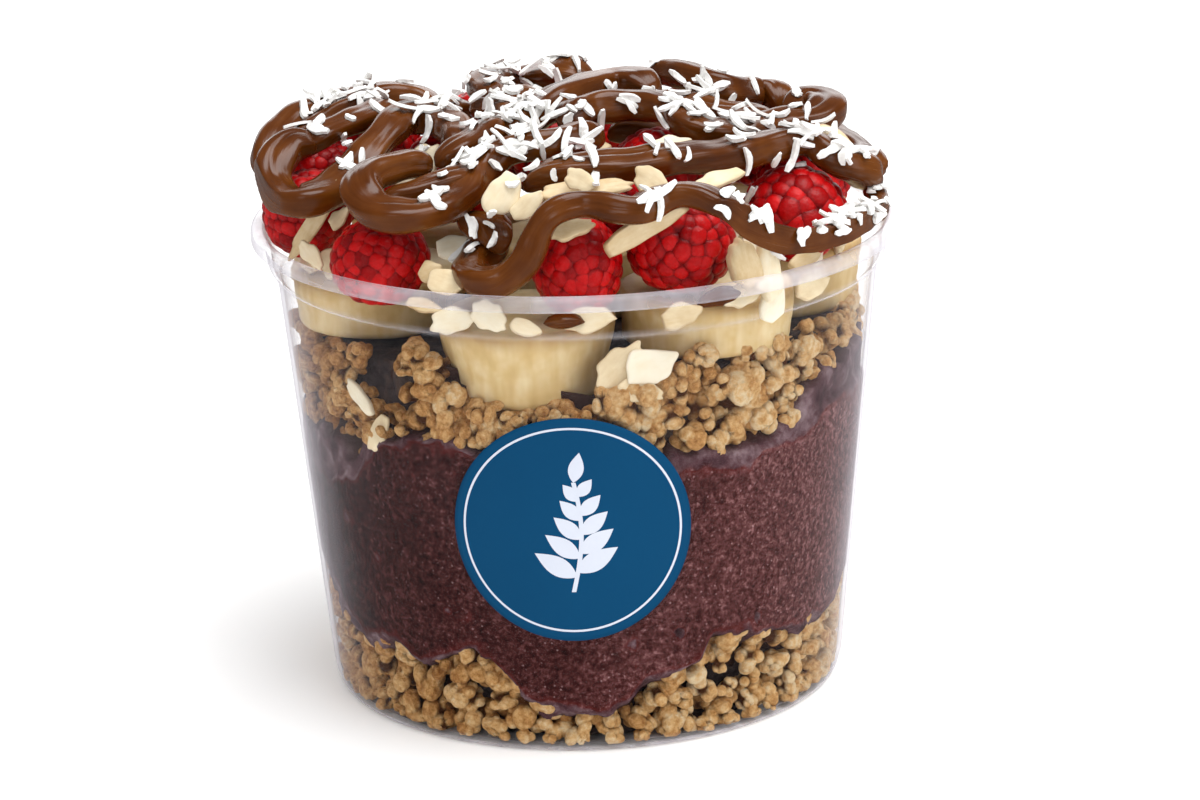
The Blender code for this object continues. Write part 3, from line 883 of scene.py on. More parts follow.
def add_granola_bottom():
    """Rows of clusters against the wall, with ones set back in their gaps darkened as painted shade.
    """
    rng = np.random.default_rng(31)
    heap = Heap()
    shade_core(heap, lambda a: np.full(len(a), FLOOR_Z + 0.4),
               lambda a: boundary(LOWER_BOUNDARY, a) + 1.0, 5.0, 40)
    column = 6.8
    row_height = 4.6
    for azimuth in np.arange(-180.0, 180.0, column):
        top = height_at(CONTACT_LOW, azimuth) + 0.6
        rows = max(1, round((top - 2.0) / row_height))
        in_front = abs(azimuth) < FRONT_HALF
        shape = BALL_FINE if in_front else BALL_COARSE
        for row in range(rows):
            share = (row + 0.5) / rows
            z = 1.6 + (top - 1.2) * share + rng.uniform(-0.6, 0.6)
            size = rng.uniform(2.5, 3.9)
            shifted = azimuth + rng.uniform(-1.6, 1.6) + column / 2.0 * (row % 2)
            place_cluster(heap, rng, shifted, z, size, rng.uniform(0.0, 0.7), shape)
            # set-back filler at half light: painted shade in the gaps
            if row % 2 == (0 if in_front else 1):
                place_cluster(heap, rng, azimuth + column / 2.0 + rng.uniform(-1.6, 1.6), z + 2.0,
                              2.8, 2.4, BALL_COARSE, 0.5)
        place_cluster(heap, rng, azimuth + 2.0 + rng.uniform(-0.8, 0.8), 2.2,
                      rng.uniform(1.6, 2.3), 0.0, BALL_COARSE)
    declare(heap.build("granola_low", GRANOLA), "granola_bottom")


# Clusters of the upper granola against the front wall: azimuth, z, size, set back
FRONT_CLUSTERS = [
    (-66, 65, 3.2, 0.8), (-62, 59, 2.8, 1.0), (-56, 69, 3.2, 0.4), (-50, 70, 2.6, 0.6),
    (-56, 65, 3.0, 0.3), (-55, 61, 2.8, 0.2), (-52, 58, 2.9, 0.1), (-48, 56, 2.6, 0.1),
    (-44, 57, 2.0, 0.3), (-35, 72, 2.8, 0.9), (-31, 70, 3.0, 0.6), (-37, 69, 2.2, 1.8),
    (-31, 66, 3.2, 0.2), (-27, 65, 3.2, 0.0), (-28, 61, 3.4, 0.0), (-33, 61, 2.8, 0.2),
    (-38, 58, 2.2, 0.4), (-24, 59, 2.4, 0.6), (-31, 57, 2.4, 0.8), (-21, 63, 2.7, 0.0),
    (-18, 63, 2.2, 0.1), (-15, 62, 2.3, 0.0), (-12, 62, 2.0, 0.1), (-8, 62, 2.2, 0.0),
    (-5, 62, 2.0, 0.1), (-2, 62, 2.2, 0.0), (1, 63, 2.1, 0.1), (-20, 59, 2.8, 0.1),
    (-15, 59, 2.5, 0.3), (-10, 59, 2.5, 0.5), (-5, 59, 2.5, 0.4), (0, 60, 2.5, 0.4),
    (4, 65, 2.6, 0.3), (9, 64, 4.0, 0.0), (13, 65, 3.0, 0.3), (18, 61, 3.8, 0.0),
    (15, 58, 3.2, 0.2), (11, 60, 3.0, 0.4), (22, 57, 3.5, 0.0), (25, 60, 2.6, 0.8),
    (28, 66, 2.8, 0.2), (32, 63, 5.0, 0.0), (35, 66, 3.2, 0.1), (30, 58, 3.7, 0.0),
    (27, 55, 2.5, 0.2), (39, 58, 2.7, 0.0), (38, 62, 2.4, 0.2), (47, 61, 2.6, 0.0),
    (46, 57, 2.5, 0.0), (42, 71, 3.0, 0.3), (44, 67, 3.3, 0.1), (41, 64, 2.3, 0.5),
    (51, 68, 3.2, 0.1), (50, 65, 2.3, 0.3), (60, 64, 2.8, 0.1), (22, 70, 3.0, 0.9),
    (25, 72, 2.4, 1.0), (20, 66, 2.6, 1.0), (36, 70, 2.8, 0.8), (68, 67, 3.0, 0.6),
]


# Where the upper granola leaves a gap at the front, dark from the painted shade body behind:
# azimuths, heights
GAP_AZIMUTH = (-50.0, -37.0)
GAP_Z = (61.0, 75.0)


def add_granola_top():
    """Listed clusters in front, ones behind them darker as painted shade, and rows round the back.
    """
    rng = np.random.default_rng(57)
    heap = Heap()
    shade_core(heap, lambda a: boundary(UPPER_BOUNDARY, a) - 1.5, lambda a: boundary(ROOF, a) - 1.0,
               4.6, 60)
    for azimuth, z, size, back in FRONT_CLUSTERS:
        place_cluster(heap, rng, azimuth, z, size, back, BALL_FINE if size > 2.3 else BALL_COARSE)
    for azimuth in np.arange(-72.0, 74.0, 5.0):
        low = height_at(CONTACT_HIGH, azimuth) + 3.0
        for z in np.arange(low, height_at(ROOF, azimuth), 4.2):
            if GAP_AZIMUTH[0] < azimuth < GAP_AZIMUTH[1] and GAP_Z[0] < z < GAP_Z[1]:
                continue
            # set-back clusters at 0.6 light: painted shade behind the front ones
            place_cluster(heap, rng, azimuth + rng.uniform(-2.0, 2.0), z + rng.uniform(-1.0, 1.0),
                          rng.uniform(2.4, 3.4), rng.uniform(1.8, 2.8), BALL_COARSE, 0.6)
    for azimuth in np.arange(74.0, 288.0, 7.2):
        low = height_at(UPPER_BOUNDARY, azimuth) + 0.5
        high = height_at(ROOF, azimuth)
        rows = max(1, round((high - low) / 4.9))
        for row in range(rows):
            share = (row + 0.5) / rows
            z = low + (high - low) * share + rng.uniform(-1.0, 1.0)
            size = rng.uniform(2.8, 4.6)
            place_cluster(heap, rng, azimuth + rng.uniform(-3.0, 3.0) + 4.0 * (row % 2), z, size,
                          rng.uniform(0.0, 1.4), BALL_COARSE)
            # a set-back cluster at 0.7 light: painted shade in the gaps
            place_cluster(heap, rng, azimuth + 3.3, z + 2.2, 2.6, 2.4, BALL_COARSE, 0.7)
    declare(heap.build("granola_high", GRANOLA), "granola_top")


# ---------------------------------------------------------------- banana slices
def add_banana(index, slice_size):
    """A thick slice: slightly cornered outline, vertical cut lines, rounded edges."""
    rng = np.random.default_rng(700 + index)
    x, y, under, top, radius = slice_size
    pressed = index == 1
    around = 132
    angles = full_turn(around)
    phase = rng.uniform(0.0, math.tau)
    corners = 0.030 * np.abs(np.cos(2.5 * angles + phase)) ** 1.5 - 0.022
    grooves = np.zeros(around)
    for _ in range(11):
        gap = angle_between(angles, rng.uniform(0.0, math.tau))
        grooves -= rng.uniform(0.003, 0.011) * hump(gap, 0.0, rng.uniform(0.03, 0.07))
    thickness = top - under
    taper = 0.15 if pressed else 0.06
    under -= 2.4 if pressed else 0.3
    top_edge = 1.0
    # Each step is reach, height, how much it is the slice's side, how browned it is
    steps = []
    for share in np.linspace(0.1, 1.0, 6):
        steps.append((radius * share * 0.93, top + 0.15 - 0.35 * (1.0 - share) ** 2, 0.0, 0.0))
    for turn_share in np.linspace(0.15, 1.0, 5):
        angle = turn_share * math.pi / 2.0
        steps.append((radius - top_edge + top_edge * math.sin(angle),
                      top - top_edge + top_edge * math.cos(angle), 1.0, turn_share * 0.8))
    for share in np.linspace(0.05, 0.80, 14):
        wide = radius * (1.0 - taper * share ** 1.5)
        steps.append((wide, top - top_edge - (thickness - 3.2) * share, 1.0,
                      0.8 * max(0.0, 1.0 - share / 0.25)))
    low_wide = radius * (1.0 - taper * 0.86)
    round_off = 2.6 if pressed else 1.8
    for turn_share in np.linspace(0.1, 1.0, 7):
        angle = turn_share * math.pi / 2.0
        steps.append((low_wide - round_off + round_off * math.cos(angle),
                      under + round_off - round_off * math.sin(angle), 1.0, 0.5 * turn_share))
    steps.append((low_wide * 0.5, under, 0.6, 0.3))
    points = []
    side = []
    rim = []
    for reach, z, is_side, is_rim in steps:
        wide = reach * (1.0 + corners + grooves * is_side)
        points.append(ring_at(angles, wide, z))
        side += [is_side] * around
        rim += [is_rim] * around
    points = np.concatenate(points + [[[0.0, 0.0, top - 0.2], [0.0, 0.0, under]]])
    side += [0.0, 0.6]
    rim += [0.0, 0.3]
    local = points - [0.0, 0.0, (top + under) / 2.0] + [40.0 * index, 0.0, 0.0]
    wave = layered_noise(local, (0.18, 5.0, 30), (0.07, 1.8, 31))
    points[:, :2] *= (1.0 + wave / 14.0)[:, None]
    points[:, :2] += [x, y]
    item = add_mesh("banana_slice_%d" % index, inside_wall(points, 0.1),
                    capped_rings(len(steps), around), BANANA,
                    values={"local": local, "side": side, "rim": rim})
    declare(item, "banana_%d" % index)


# ---------------------------------------------------------------- raspberries
def drupelet(segments, rings):
    """Upper part of a unit ball, from its pole to near its waist."""
    points = [[0.0, 0.0, 1.0]]
    for ring in range(1, rings + 1):
        angle = math.radians(60.0) * ring / rings
        for step in range(segments):
            turned_by = math.tau * (step + 0.5 * (ring % 2)) / segments
            points.append([math.sin(angle) * math.cos(turned_by),
                           math.sin(angle) * math.sin(turned_by), math.cos(angle)])
    return np.array(points), disc_faces(rings, segments)


def add_raspberry(index, berry):
    """A core set with drupelets along a spiral; the berries in front are more finely meshed."""
    rng = np.random.default_rng(900 + index)
    *centre, half_width, half_height = berry
    cap, cap_faces = drupelet(12, 5) if index < 9 else drupelet(8, 3)
    sizes = np.array([half_width, half_width, half_height])
    count, drupelet_radius = (96, 3.0) if index == 6 else (150, 2.5)
    order = np.arange(count) + 0.5
    polar = np.arccos(1.0 - 2.0 * order / count)
    spin = order * math.pi * (3.0 - math.sqrt(5.0))
    directions = np.column_stack([np.sin(polar) * np.cos(spin), np.sin(polar) * np.sin(spin),
                                  np.cos(polar)])
    directions = directions @ random_turn(rng).T
    directions += rng.normal(size=directions.shape) * 0.032
    directions /= np.linalg.norm(directions, axis=1)[:, None]
    heap = Heap()
    core, core_faces = BALL_COARSE
    # the core takes the full painted crease shade
    heap.add(core * (sizes - 1.2) + centre, core_faces, tone=0.3, cleft=0.0)
    for direction in directions:
        size = rng.uniform(0.93, 1.08) * drupelet_radius
        middle = direction * (sizes - drupelet_radius - 0.05)
        normal = Vector(direction / sizes).normalized()
        frame_turn = np.array(normal.to_track_quat("Z", "Y").to_matrix())
        shape = cap * [size * rng.uniform(0.95, 1.10), size * rng.uniform(0.88, 1.0), size]
        spin_turn = turn((0.0, 0.0, rng.uniform(0.0, 360.0)))
        points = shape @ spin_turn.T @ frame_turn.T + middle + centre
        # painted shade towards each drupelet's base, where it meets its neighbours
        heap.add(points, cap_faces, tone=rng.uniform(0.0, 1.0),
                 cleft=fade(cap[:, 2], 0.76, 0.92))
    item = heap.build("raspberry_fruit_%02d" % index, RASPBERRY)
    declare(item, "raspberry_%02d" % index)


# ---------------------------------------------------------------- piped spread
def smooth_route(points, step):
    """Catmull-Rom curve through the points, cut into steps of almost equal length."""
    route = [Vector(point) for point in points]
    ends = [2.0 * route[0] - route[1]] + route + [2.0 * route[-1] - route[-2]]
    fine = []
    parts = 24
    for index in range(1, len(ends) - 2):
        before, start, end, after = ends[index - 1:index + 3]
        for part in range(parts):
            t = part / parts
            point = 2.0 * start + (end - before) * t
            point += (2.0 * before - 5.0 * start + 4.0 * end - after) * t ** 2
            point += (3.0 * start - before - 3.0 * end + after) * t ** 3
            fine.append(0.5 * point)
    fine.append(route[-1])
    fine = np.array(fine)
    lengths = np.concatenate([[0.0], np.cumsum(np.linalg.norm(np.diff(fine, axis=0), axis=1))])
    count = max(2, round(lengths[-1] / step))
    targets = np.linspace(0.0, lengths[-1], count + 1)
    return np.column_stack([np.interp(targets, lengths, fine[:, axis]) for axis in range(3)])


def rope_shape(waypoints, rng, number, size, slimmer=0.0):
    """A soft piped ribbon: flat top with shoulders, creases, slow twist and drawn-out ends."""
    route = smooth_route(waypoints, ROUTE_STEP)
    for _ in range(8):
        route[1:-1] = (route[:-2] + 2.0 * route[1:-1] + route[2:]) / 4.0
    count = len(route)
    along = np.gradient(route, axis=0)
    along /= np.linalg.norm(along, axis=1)[:, None]
    around = 40
    angles = full_turn(around)
    total = ROUTE_STEP * (count - 1)
    phases = rng.uniform(0.0, math.tau, 6)
    # Angle round the ribbon, depth, width
    creases = [(math.pi / 2.0 + 0.38, 0.13, 0.13), (math.pi / 2.0 - 0.30, 0.09, 0.12),
               (0.15, 0.07, 0.20), (math.pi - 0.2, 0.08, 0.20)]
    rings = []
    local = []
    for place in range(count):
        forward = along[place]
        aside = np.cross(forward, [0.0, 0.0, 1.0])
        aside /= max(np.linalg.norm(aside), 1e-6)
        up = np.cross(aside, forward)
        here = ROUTE_STEP * place
        tip = min(here, total - here)
        narrowing = math.sqrt(max(0.0, 1.0 - max(0.0, 1.0 - tip / 5.5) ** 2))
        swell = 1.0 + 0.07 * math.sin(here * 0.23 + phases[0])
        swell += 0.04 * math.sin(here * 0.71 + phases[1])
        swell *= 1.0 - slimmer * place / count
        radius = ROPE_RADIUS * size * swell * (0.04 + 0.96 * narrowing)
        twist = 0.38 * math.sin(here * 0.075 + phases[2])
        spun = angles - twist
        power = np.where(np.sin(spun) > 0.0, 4.4, 2.3)
        section = (np.abs(np.cos(spun)) ** power + np.abs(np.sin(spun)) ** power) ** (-1.0 / power)
        for crease, (spot, depth, wide) in enumerate(creases):
            gap = angle_between(spun, spot + 0.2 * math.sin(here * 0.13 + phases[3]))
            deep = max(0.0, 0.35 + 0.75 * math.sin(here * 0.15 + phases[4] + 1.9 * crease))
            section -= depth * deep * hump(gap, 0.0, wide)
        across = np.cos(angles) * section * radius * 1.05
        upward = np.sin(angles) * section * radius * 0.86
        rings.append(route[place] + across[:, None] * aside + upward[:, None] * up
                     - [0.0, 0.0, 1.2 * (1.0 - narrowing)])
        local.append(np.column_stack([np.full(around, here + 200.0 * number),
                                      3.0 * np.cos(spun), 3.0 * np.sin(spun)]))
    points = np.concatenate(rings + [[rings[0].mean(0), rings[-1].mean(0)]])
    points += 0.09 * lattice_noise(points, 2.5, 80)[:, None] * [1.0, 1.0, 0.6]
    points[:, 2] = np.minimum(points[:, 2], HEAP_TOP)
    reach = np.hypot(points[:, 0], points[:, 1])
    points[:, :2] *= np.minimum(1.0, ROPE_REACH / np.maximum(reach, 1.0))[:, None]
    local = np.concatenate(local + [np.zeros((2, 3))])
    return points, capped_rings(count, around), local


def add_strand(index, waypoints):
    rng = np.random.default_rng(1100 + index)
    slimmer = 0.30 if index == 4 else 0.0
    points, faces, local = rope_shape(waypoints, rng, index, 1.06, slimmer)
    item = add_mesh("spread_rope_%02d" % index, points, faces, SPREAD, values={"local": local})
    declare(item, "spread_%02d" % index)


# Spread that runs between the strands and ties their ends together: size, route
TRICKLES = [
    (0.86, [(-48, -11, 101), (-45, -9, 103), (-40, -4, 104), (-36, 2, 104), (-32, 9, 104)]),
    (0.86, [(-34, -37, 98), (-28, -36, 99), (-22, -33, 100), (-17, -29, 101)]),
    (0.86, [(-24, -24, 102), (-19, -20, 103), (-16, -14, 104), (-12, -8, 104)]),
    (0.86, [(-53, -9, 97), (-50, 0, 100), (-46, 5, 102), (-40, 8, 104), (-33, 10, 104)]),
    (0.66, [(52, -11, 93), (53, -16, 91), (53, -21, 90), (51, -26, 90), (47, -31, 90)]),
    (0.86, [(-18, 10, 103), (-14, 4, 104), (-10, -3, 104), (-7, -7, 104)]),
    (0.86, [(18, 10, 104), (24, 4, 103), (30, 2, 102), (37, 5, 101)]),
    (0.90, [(-28, -19, 96), (-22, -19, 96), (-16, -23, 96), (-11, -27, 96)]),
    (0.90, [(-20, -33, 95), (-17, -35, 93), (-14, -38, 92), (-13, -42, 91)]),
    (0.90, [(6, 3, 100), (13, 1, 100), (20, -3, 99), (26, -6, 98)]),
    (0.90, [(-36, 20, 98), (-30, 24, 98), (-24, 28, 98), (-18, 32, 98)]),
    (0.55, [(-6, -51, 81), (-3, -51, 80), (1, -51, 81)]),
    (0.55, [(20, -47, 82), (24, -46, 82), (28, -44, 83)]),
]


def add_trickles():
    rng = np.random.default_rng(1190)
    heap = Heap()
    for number, (size, waypoints) in enumerate(TRICKLES, 20):
        points, faces, local = rope_shape(waypoints, rng, number, size)
        heap.add(points, faces, local=local)
    declare(heap.build("spread_trickles", SPREAD))


# ---------------------------------------------------------------- almond flakes
def almond_flake(rng, half_length, half_width, half_thickness, bend, cut):
    """A thin almond slice: pointed at one end, cupped a little, with skin along its edge."""
    around = 44
    angles = full_turn(around)
    across = np.sin(angles)
    along = np.cos(angles)
    wide = 1.0 - 0.26 * along - 0.10 * along ** 2
    outline = np.column_stack([along * half_length, across * wide * half_width])
    wobble = sum(rng.normal(0.0, 0.030) * np.cos(order * angles + rng.uniform(0.0, 6.3))
                 for order in range(2, 9))
    outline *= (1.0 + wobble)[:, None]
    for _ in range(2):
        if rng.random() < cut * 4.0:
            lean = rng.uniform(0.0, math.tau)
            edge_way = np.array([math.cos(lean), math.sin(lean)])
            limit = 0.72 * np.abs(outline @ edge_way).max()
            over = np.maximum(outline @ edge_way - limit, 0.0)
            outline -= over[:, None] * edge_way * 0.92
    layers = [(0.5, 1.0), (0.88, 0.95), (0.97, 0.70), (1.0, 0.30), (1.0, -0.30), (0.97, -0.70),
              (0.88, -0.95), (0.5, -1.0)]
    points = []
    edge = []
    for scale, level in layers:
        flat = outline * scale
        lift = bend * (flat[:, 0] / half_length) ** 2 * half_length
        lift = lift + 0.35 * bend * (flat[:, 1] / half_width) ** 2 * half_width
        points.append(np.column_stack([flat, level * half_thickness + lift]))
        edge += [1.0 if abs(level) < 0.8 else 0.0] * around
    points = np.concatenate(points + [[[0.0, 0.0, half_thickness], [0.0, 0.0, -half_thickness]]])
    points[:, 2] += 0.12 * lattice_noise(points + rng.uniform(0.0, 50.0, 3), 1.8, 90)
    edge += [0.0, 0.0]
    faces = [face[::-1] for face in capped_rings(len(layers), around)]
    return points, faces, np.array(edge)


def facing_turn(along, facing):
    """Rotation whose X runs along the first direction and whose Z leans to the second."""
    first = np.array(along, float)
    first /= np.linalg.norm(first)
    third = np.array(facing, float)
    third -= first * third.dot(first)
    third /= np.linalg.norm(third)
    return np.column_stack([first, np.cross(third, first), third])


def add_flake(heap, rng, centre, rotation, half_sizes, bend, cut, skin):
    """Add a flake; half_sizes are its length, width and thickness, skin how brown its edge is."""
    points, faces, edge = almond_flake(rng, *half_sizes, bend, cut)
    local = points + rng.uniform(-90.0, 90.0, 3)
    moved = points @ rotation.T + np.array(centre)
    heap.add(moved, faces, local=local, tone=rng.uniform(0.0, 1.0), edge=edge * skin)


# Almond pieces over the heap: centre, direction of length, facing, half length, half width,
# half thickness, bend, share of skin left
FLAKES = [
    ((-45, -23, 92), (11, -5, 16), (-5, -10, 2), 9.6, 1.5, 0.45, 0.03, 0.2),
    ((-46, -26, 86), (3, -2, -4), (-3, -10, 3), 3.2, 1.4, 0.5, 0.1, 0.3),
    ((-41, -23, 92), (3, 0, 3), (-3, -10, 3), 2.6, 1.3, 0.5, 0.1, 0.2),
    ((-12, -40, 100), (4, 2, 6), (0, -10, 4), 4.4, 2.9, 1.1, 0.0, 0.0),
    ((-8, -42, 98), (5, 1, 4), (0, -10, 5), 3.4, 1.8, 0.7, 0.1, 0.0),
    ((-21, -34, 89), (7, 1, 1), (0, -10, 6), 3.9, 2.0, 0.8, 0.1, 0.0),
    ((-25, -42, 87), (4, 0, 1), (0, -10, 4), 2.3, 1.8, 1.4, 0.0, 0.3),
    ((-22, -46, 86), (6, -3, -1), (0, -10, 6), 3.5, 2.3, 0.7, 0.1, 0.0),
    ((11, -48, 95), (15, 3, 7), (0, -10, -4), 8.8, 2.4, 0.45, 0.14, 0.9),
    ((2, -41, 100), (16, 0, 1), (0, -10, 12), 8.2, 2.2, 0.45, 0.06, 0.3),
    ((1, -42, 102), (4, 0, -2), (0, -10, 4), 2.8, 1.9, 0.5, 0.1, 0.2),
    ((17, -19, 102), (8, 2, 1), (0, -10, 8), 4.0, 1.8, 0.5, 0.1, 0.3),
    ((25, -35, 100), (9, 6, 1), (0, -10, 9), 5.4, 1.5, 0.6, 0.05, 0.3),
    ((13, -40, 101), (5, -1, -3), (0, -10, 5), 3.3, 2.3, 0.5, 0.1, 0.2),
    ((28, -46, 88), (-2, 1, 8), (2, -10, 4), 4.2, 2.9, 2.2, 0.0, 0.0),
    ((32, -45, 86), (-1, 1, 8), (3, -10, 4), 4.6, 2.4, 1.8, 0.0, 0.0),
    ((33, -44, 80), (2, 2, 7), (5, -10, 1), 4.2, 2.2, 0.8, 0.05, 0.0),
    ((39, -35, 85), (5, 3, 1), (2, -10, 6), 3.2, 1.5, 0.8, 0.1, 0.0),
    ((27, -38, 91), (2, 0, 3), (3, -10, 0), 2.2, 0.8, 0.4, 0.1, 0.2),
    ((-1, -47, 95), (8, 1, 1), (0, -10, 8), 4.3, 1.8, 0.8, 0.06, 0.0),
    ((2, -50, 80), (9, 0, 1), (0, -10, 4), 4.6, 2.2, 0.6, 0.05, 0.3),
    ((17, -49, 80), (8, 1, 1), (2, -10, 4), 4.0, 2.2, 0.6, 0.05, 0.3),
    ((-15, -50, 81), (5, -1, -4), (-2, -10, 3), 3.4, 2.5, 0.8, 0.05, 0.1),
    ((-21, -48, 80), (7, -2, 2), (-3, -10, 1), 4.4, 2.2, 0.6, 0.05, 0.2),
    ((-26, -46, 82), (6, -2, -1), (-3, -10, 8), 3.4, 1.2, 0.5, 0.05, 0.4),
    ((-9, -51, 79), (6, 0, -2), (0, -10, 9), 2.9, 1.5, 0.4, 0.1, 0.3),
    ((28, -45, 82), (6, 2, 1), (5, -10, 6), 3.6, 1.9, 0.6, 0.1, 0.2),
    ((40, -37, 81), (6, 6, 1), (6, -8, 4), 4.2, 2.1, 0.6, 0.1, 0.2),
    ((7, -48, 71), (7, 1, 7), (1, -10, 2), 5.0, 3.2, 0.4, 0.12, 0.1),
    ((12, -48, 71), (6, 2, 3), (2, -10, 1), 4.8, 3.6, 0.4, 0.10, 0.1),
    ((10, -49, 67), (7, 1, -3), (1, -10, 4), 4.2, 2.2, 0.4, 0.15, 0.1),
    ((-38, -34, 62), (5, -5, -6), (-7, -8, 1), 4.4, 1.3, 0.5, 0.05, 0.2),
    ((-35, -36, 57), (3, 0, 8), (-7, -8, 1), 4.0, 1.8, 0.4, 0.10, 0.1),
]


def add_almonds():
    """The four large flakes, the listed loose ones and a scattering round the back."""
    rng = np.random.default_rng(1300)
    for index, (*centre, length, width, turns) in enumerate(ALMONDS, 1):
        heap = Heap()
        half_sizes = (length, width, ALMOND_HALF_THICKNESS)
        add_flake(heap, rng, centre, turn(turns), half_sizes, 0.06, 0.0, 0.6)
        declare(heap.build("almond_flake_%d" % index, ALMOND), "almond_%d" % index)
    heap = Heap()
    for centre, along, facing, *half_sizes, bend, skin in FLAKES:
        add_flake(heap, rng, centre, facing_turn(along, facing), half_sizes, bend,
                  0.15 * rng.random(), skin)
    for azimuth in np.arange(58.0, 300.0, 6.5):
        angle = math.radians(azimuth + rng.uniform(-3.0, 3.0))
        out = np.array([math.sin(angle), -math.cos(angle), 0.0])
        aside = np.array([math.cos(angle), math.sin(angle), 0.0])
        centre = out * rng.uniform(46.5, 50.5) + [0.0, 0.0, rng.uniform(78.0, 84.5)]
        along = aside + [0.0, 0.0, rng.uniform(-0.6, 0.6)]
        facing = out + [0.0, 0.0, rng.uniform(0.0, 1.4)]
        half_sizes = (rng.uniform(3.2, 5.2), rng.uniform(1.8, 2.9), 0.5)
        add_flake(heap, rng, centre, facing_turn(along, facing), half_sizes, 0.08, 0.1,
                  rng.uniform(0.0, 0.8))
    declare(heap.build("almond_flakes_loose", ALMOND))


# ---------------------------------------------------------------- coconut
# Where the shreds gather, at the level of the heap's top: centre x, y, spread, count
SHRED_PATCHES = [
    (-42, 17, 3, 8), (-46, 10, 3, 7), (-42, 13, 3, 9), (-37, 16, 3, 12), (-43, -5, 3, 8),
    (-39, -19, 1, 3), (-29, 5, 4, 11), (-24, 4, 3, 10), (-20, -4, 3, 9), (-25, 30, 5, 16),
    (-19, 22, 4, 16), (-22, -14, 2, 5), (-26, -27, 3, 3), (-17, -25, 3, 12), (-12, 7, 4, 22),
    (-8, -5, 4, 18), (-14, -4, 3, 8), (-15, -20, 2, 6), (-9, -20, 3, 11), (-5, -25, 3, 10),
    (-3, -33, 2, 4), (-8, -35, 2, 5), (-12, -29, 3, 6), (-5, 5, 3, 12), (-1, -4, 4, 20),
    (4, 13, 3, 7), (6, 0, 3, 9), (13, 11, 4, 16), (17, -3, 3, 9), (21, 18, 5, 20),
    (21, -10, 4, 15), (-7, 31, 5, 18), (2, 29, 4, 12), (5, 38, 3, 5), (1, -19, 3, 12),
    (5, -20, 3, 12), (12, -10, 3, 8), (18, -28, 2, 7), (3, -36, 2, 3), (12, -52, 2, 7),
    (26, 12, 3, 10), (32, 13, 3, 8), (32, -3, 3, 6), (37, 0, 3, 7), (43, -4, 3, 7),
    (31, -21, 3, 6), (38, -15, 3, 13), (43, -16, 3, 12), (48, -21, 3, 8), (31, -25, 1, 4),
    (26, -50, 2, 3), (52, -27, 3, 7), (50, -33, 2, 9), (30, -50.5, 0, 8), (33, -49.7, 0, 10),
    (37, -48.7, 0, 16), (40.5, -45.6, 0, 16), (44, -42.2, 0, 16), (47, -38.2, 0, 14),
    (49.5, -34.2, 0, 10), (53, -20, 2, 5),
    (-20, -44, 3, 10), (-14, -45, 1, 3), (8, 36, 8, 16), (-12, 44, 8, 16), (31, 32, 8, 16),
    (-36, 38, 7, 14), (16, 50, 8, 14), (42, 38, 7, 10), (51, 8, 4, 8),
]


def shred(rng, length, width, thickness):
    """A bent strip of grated coconut with ragged sides."""
    cuts = 6
    bend = rng.normal(0.0, 0.16)
    twist = rng.normal(0.0, 0.5)
    lift = rng.normal(0.0, 0.10)
    rows = []
    for share in np.linspace(-0.5, 0.5, cuts):
        half = 0.5 * width * (1.0 - 0.55 * abs(2.0 * share) ** 3) * rng.uniform(0.70, 1.15)
        turned_by = twist * share
        middle = np.array([share * length, bend * length * (share ** 2) * 2.0,
                           lift * length * (share ** 2) * 3.0])
        aside = np.array([0.0, math.cos(turned_by), math.sin(turned_by)])
        up = np.array([0.0, -math.sin(turned_by), math.cos(turned_by)])
        flat = 0.5 * thickness
        rows += [middle - aside * half - up * flat, middle + aside * half - up * flat,
                 middle + aside * half * 0.8 + up * flat, middle - aside * half * 0.8 + up * flat]
    last = (cuts - 1) * 4
    ends = [[3, 2, 1, 0], [last, last + 1, last + 2, last + 3]]
    return np.array(rows), ring_faces(cuts, 4) + ends


def heap_tree(names):
    """Search tree over the finished pieces whose names start as given, and each face's piece."""
    verts = []
    faces = []
    owners = []
    for item in bpy.context.scene.objects:
        if item.type == "MESH" and item.name.startswith(names):
            start = len(verts)
            verts += [vert.co / MM for vert in item.data.vertices]
            faces += [[index + start for index in face.vertices] for face in item.data.polygons]
            owners += [item.name] * len(item.data.polygons)
    return BVHTree.FromPolygons(verts, faces), owners


def add_coconut():
    """Shreds fall on the heap from the front and above, and lie as the surface does."""
    rng = np.random.default_rng(1700)
    tree, owners = heap_tree(("spread_rope", "spread_trickles", "raspberry_fruit",
                              "almond_flake", "banana_slice"))
    patch_level = 100.0
    lowest = 87.0
    fall = np.array([0.0, 0.8, -1.0])
    heap = Heap()
    for centre_x, centre_y, spread, count in SHRED_PATCHES:
        for _ in range(count):
            x = centre_x + rng.normal(0.0, 0.9 + spread * 0.75)
            y = centre_y + rng.normal(0.0, 0.9 + spread * 0.75)
            start = np.array([x, y, patch_level]) - fall * 40.0
            spot, normal, face, _ = tree.ray_cast(Vector(start), Vector(fall).normalized())
            if spot is None or spot.z < lowest or math.hypot(spot.x, spot.y) > SHRED_REACH:
                continue
            if owners[face].startswith("raspberry") and rng.random() < 0.8:
                continue
            normal = np.array(normal if normal.dot(Vector(fall)) < 0.0 else -normal)
            leaning = normal + rng.normal(size=3) * 0.25
            along = np.cross(leaning, rng.normal(size=3))
            length = rng.uniform(2.0, 6.0)
            points, faces = shred(rng, length, rng.uniform(0.9, 2.0), rng.uniform(0.4, 0.7))
            lift = normal * (0.35 + 0.9 * rng.random() ** 2)
            points = points @ facing_turn(along, leaning).T + np.array(spot) + lift
            if points[:, 2].max() > HEAP_TOP or np.abs(points[:, :2]).max() > SHRED_REACH:
                continue
            heap.add(points, faces)
    declare(heap.build("coconut_shreds", COCONUT, smooth=False))


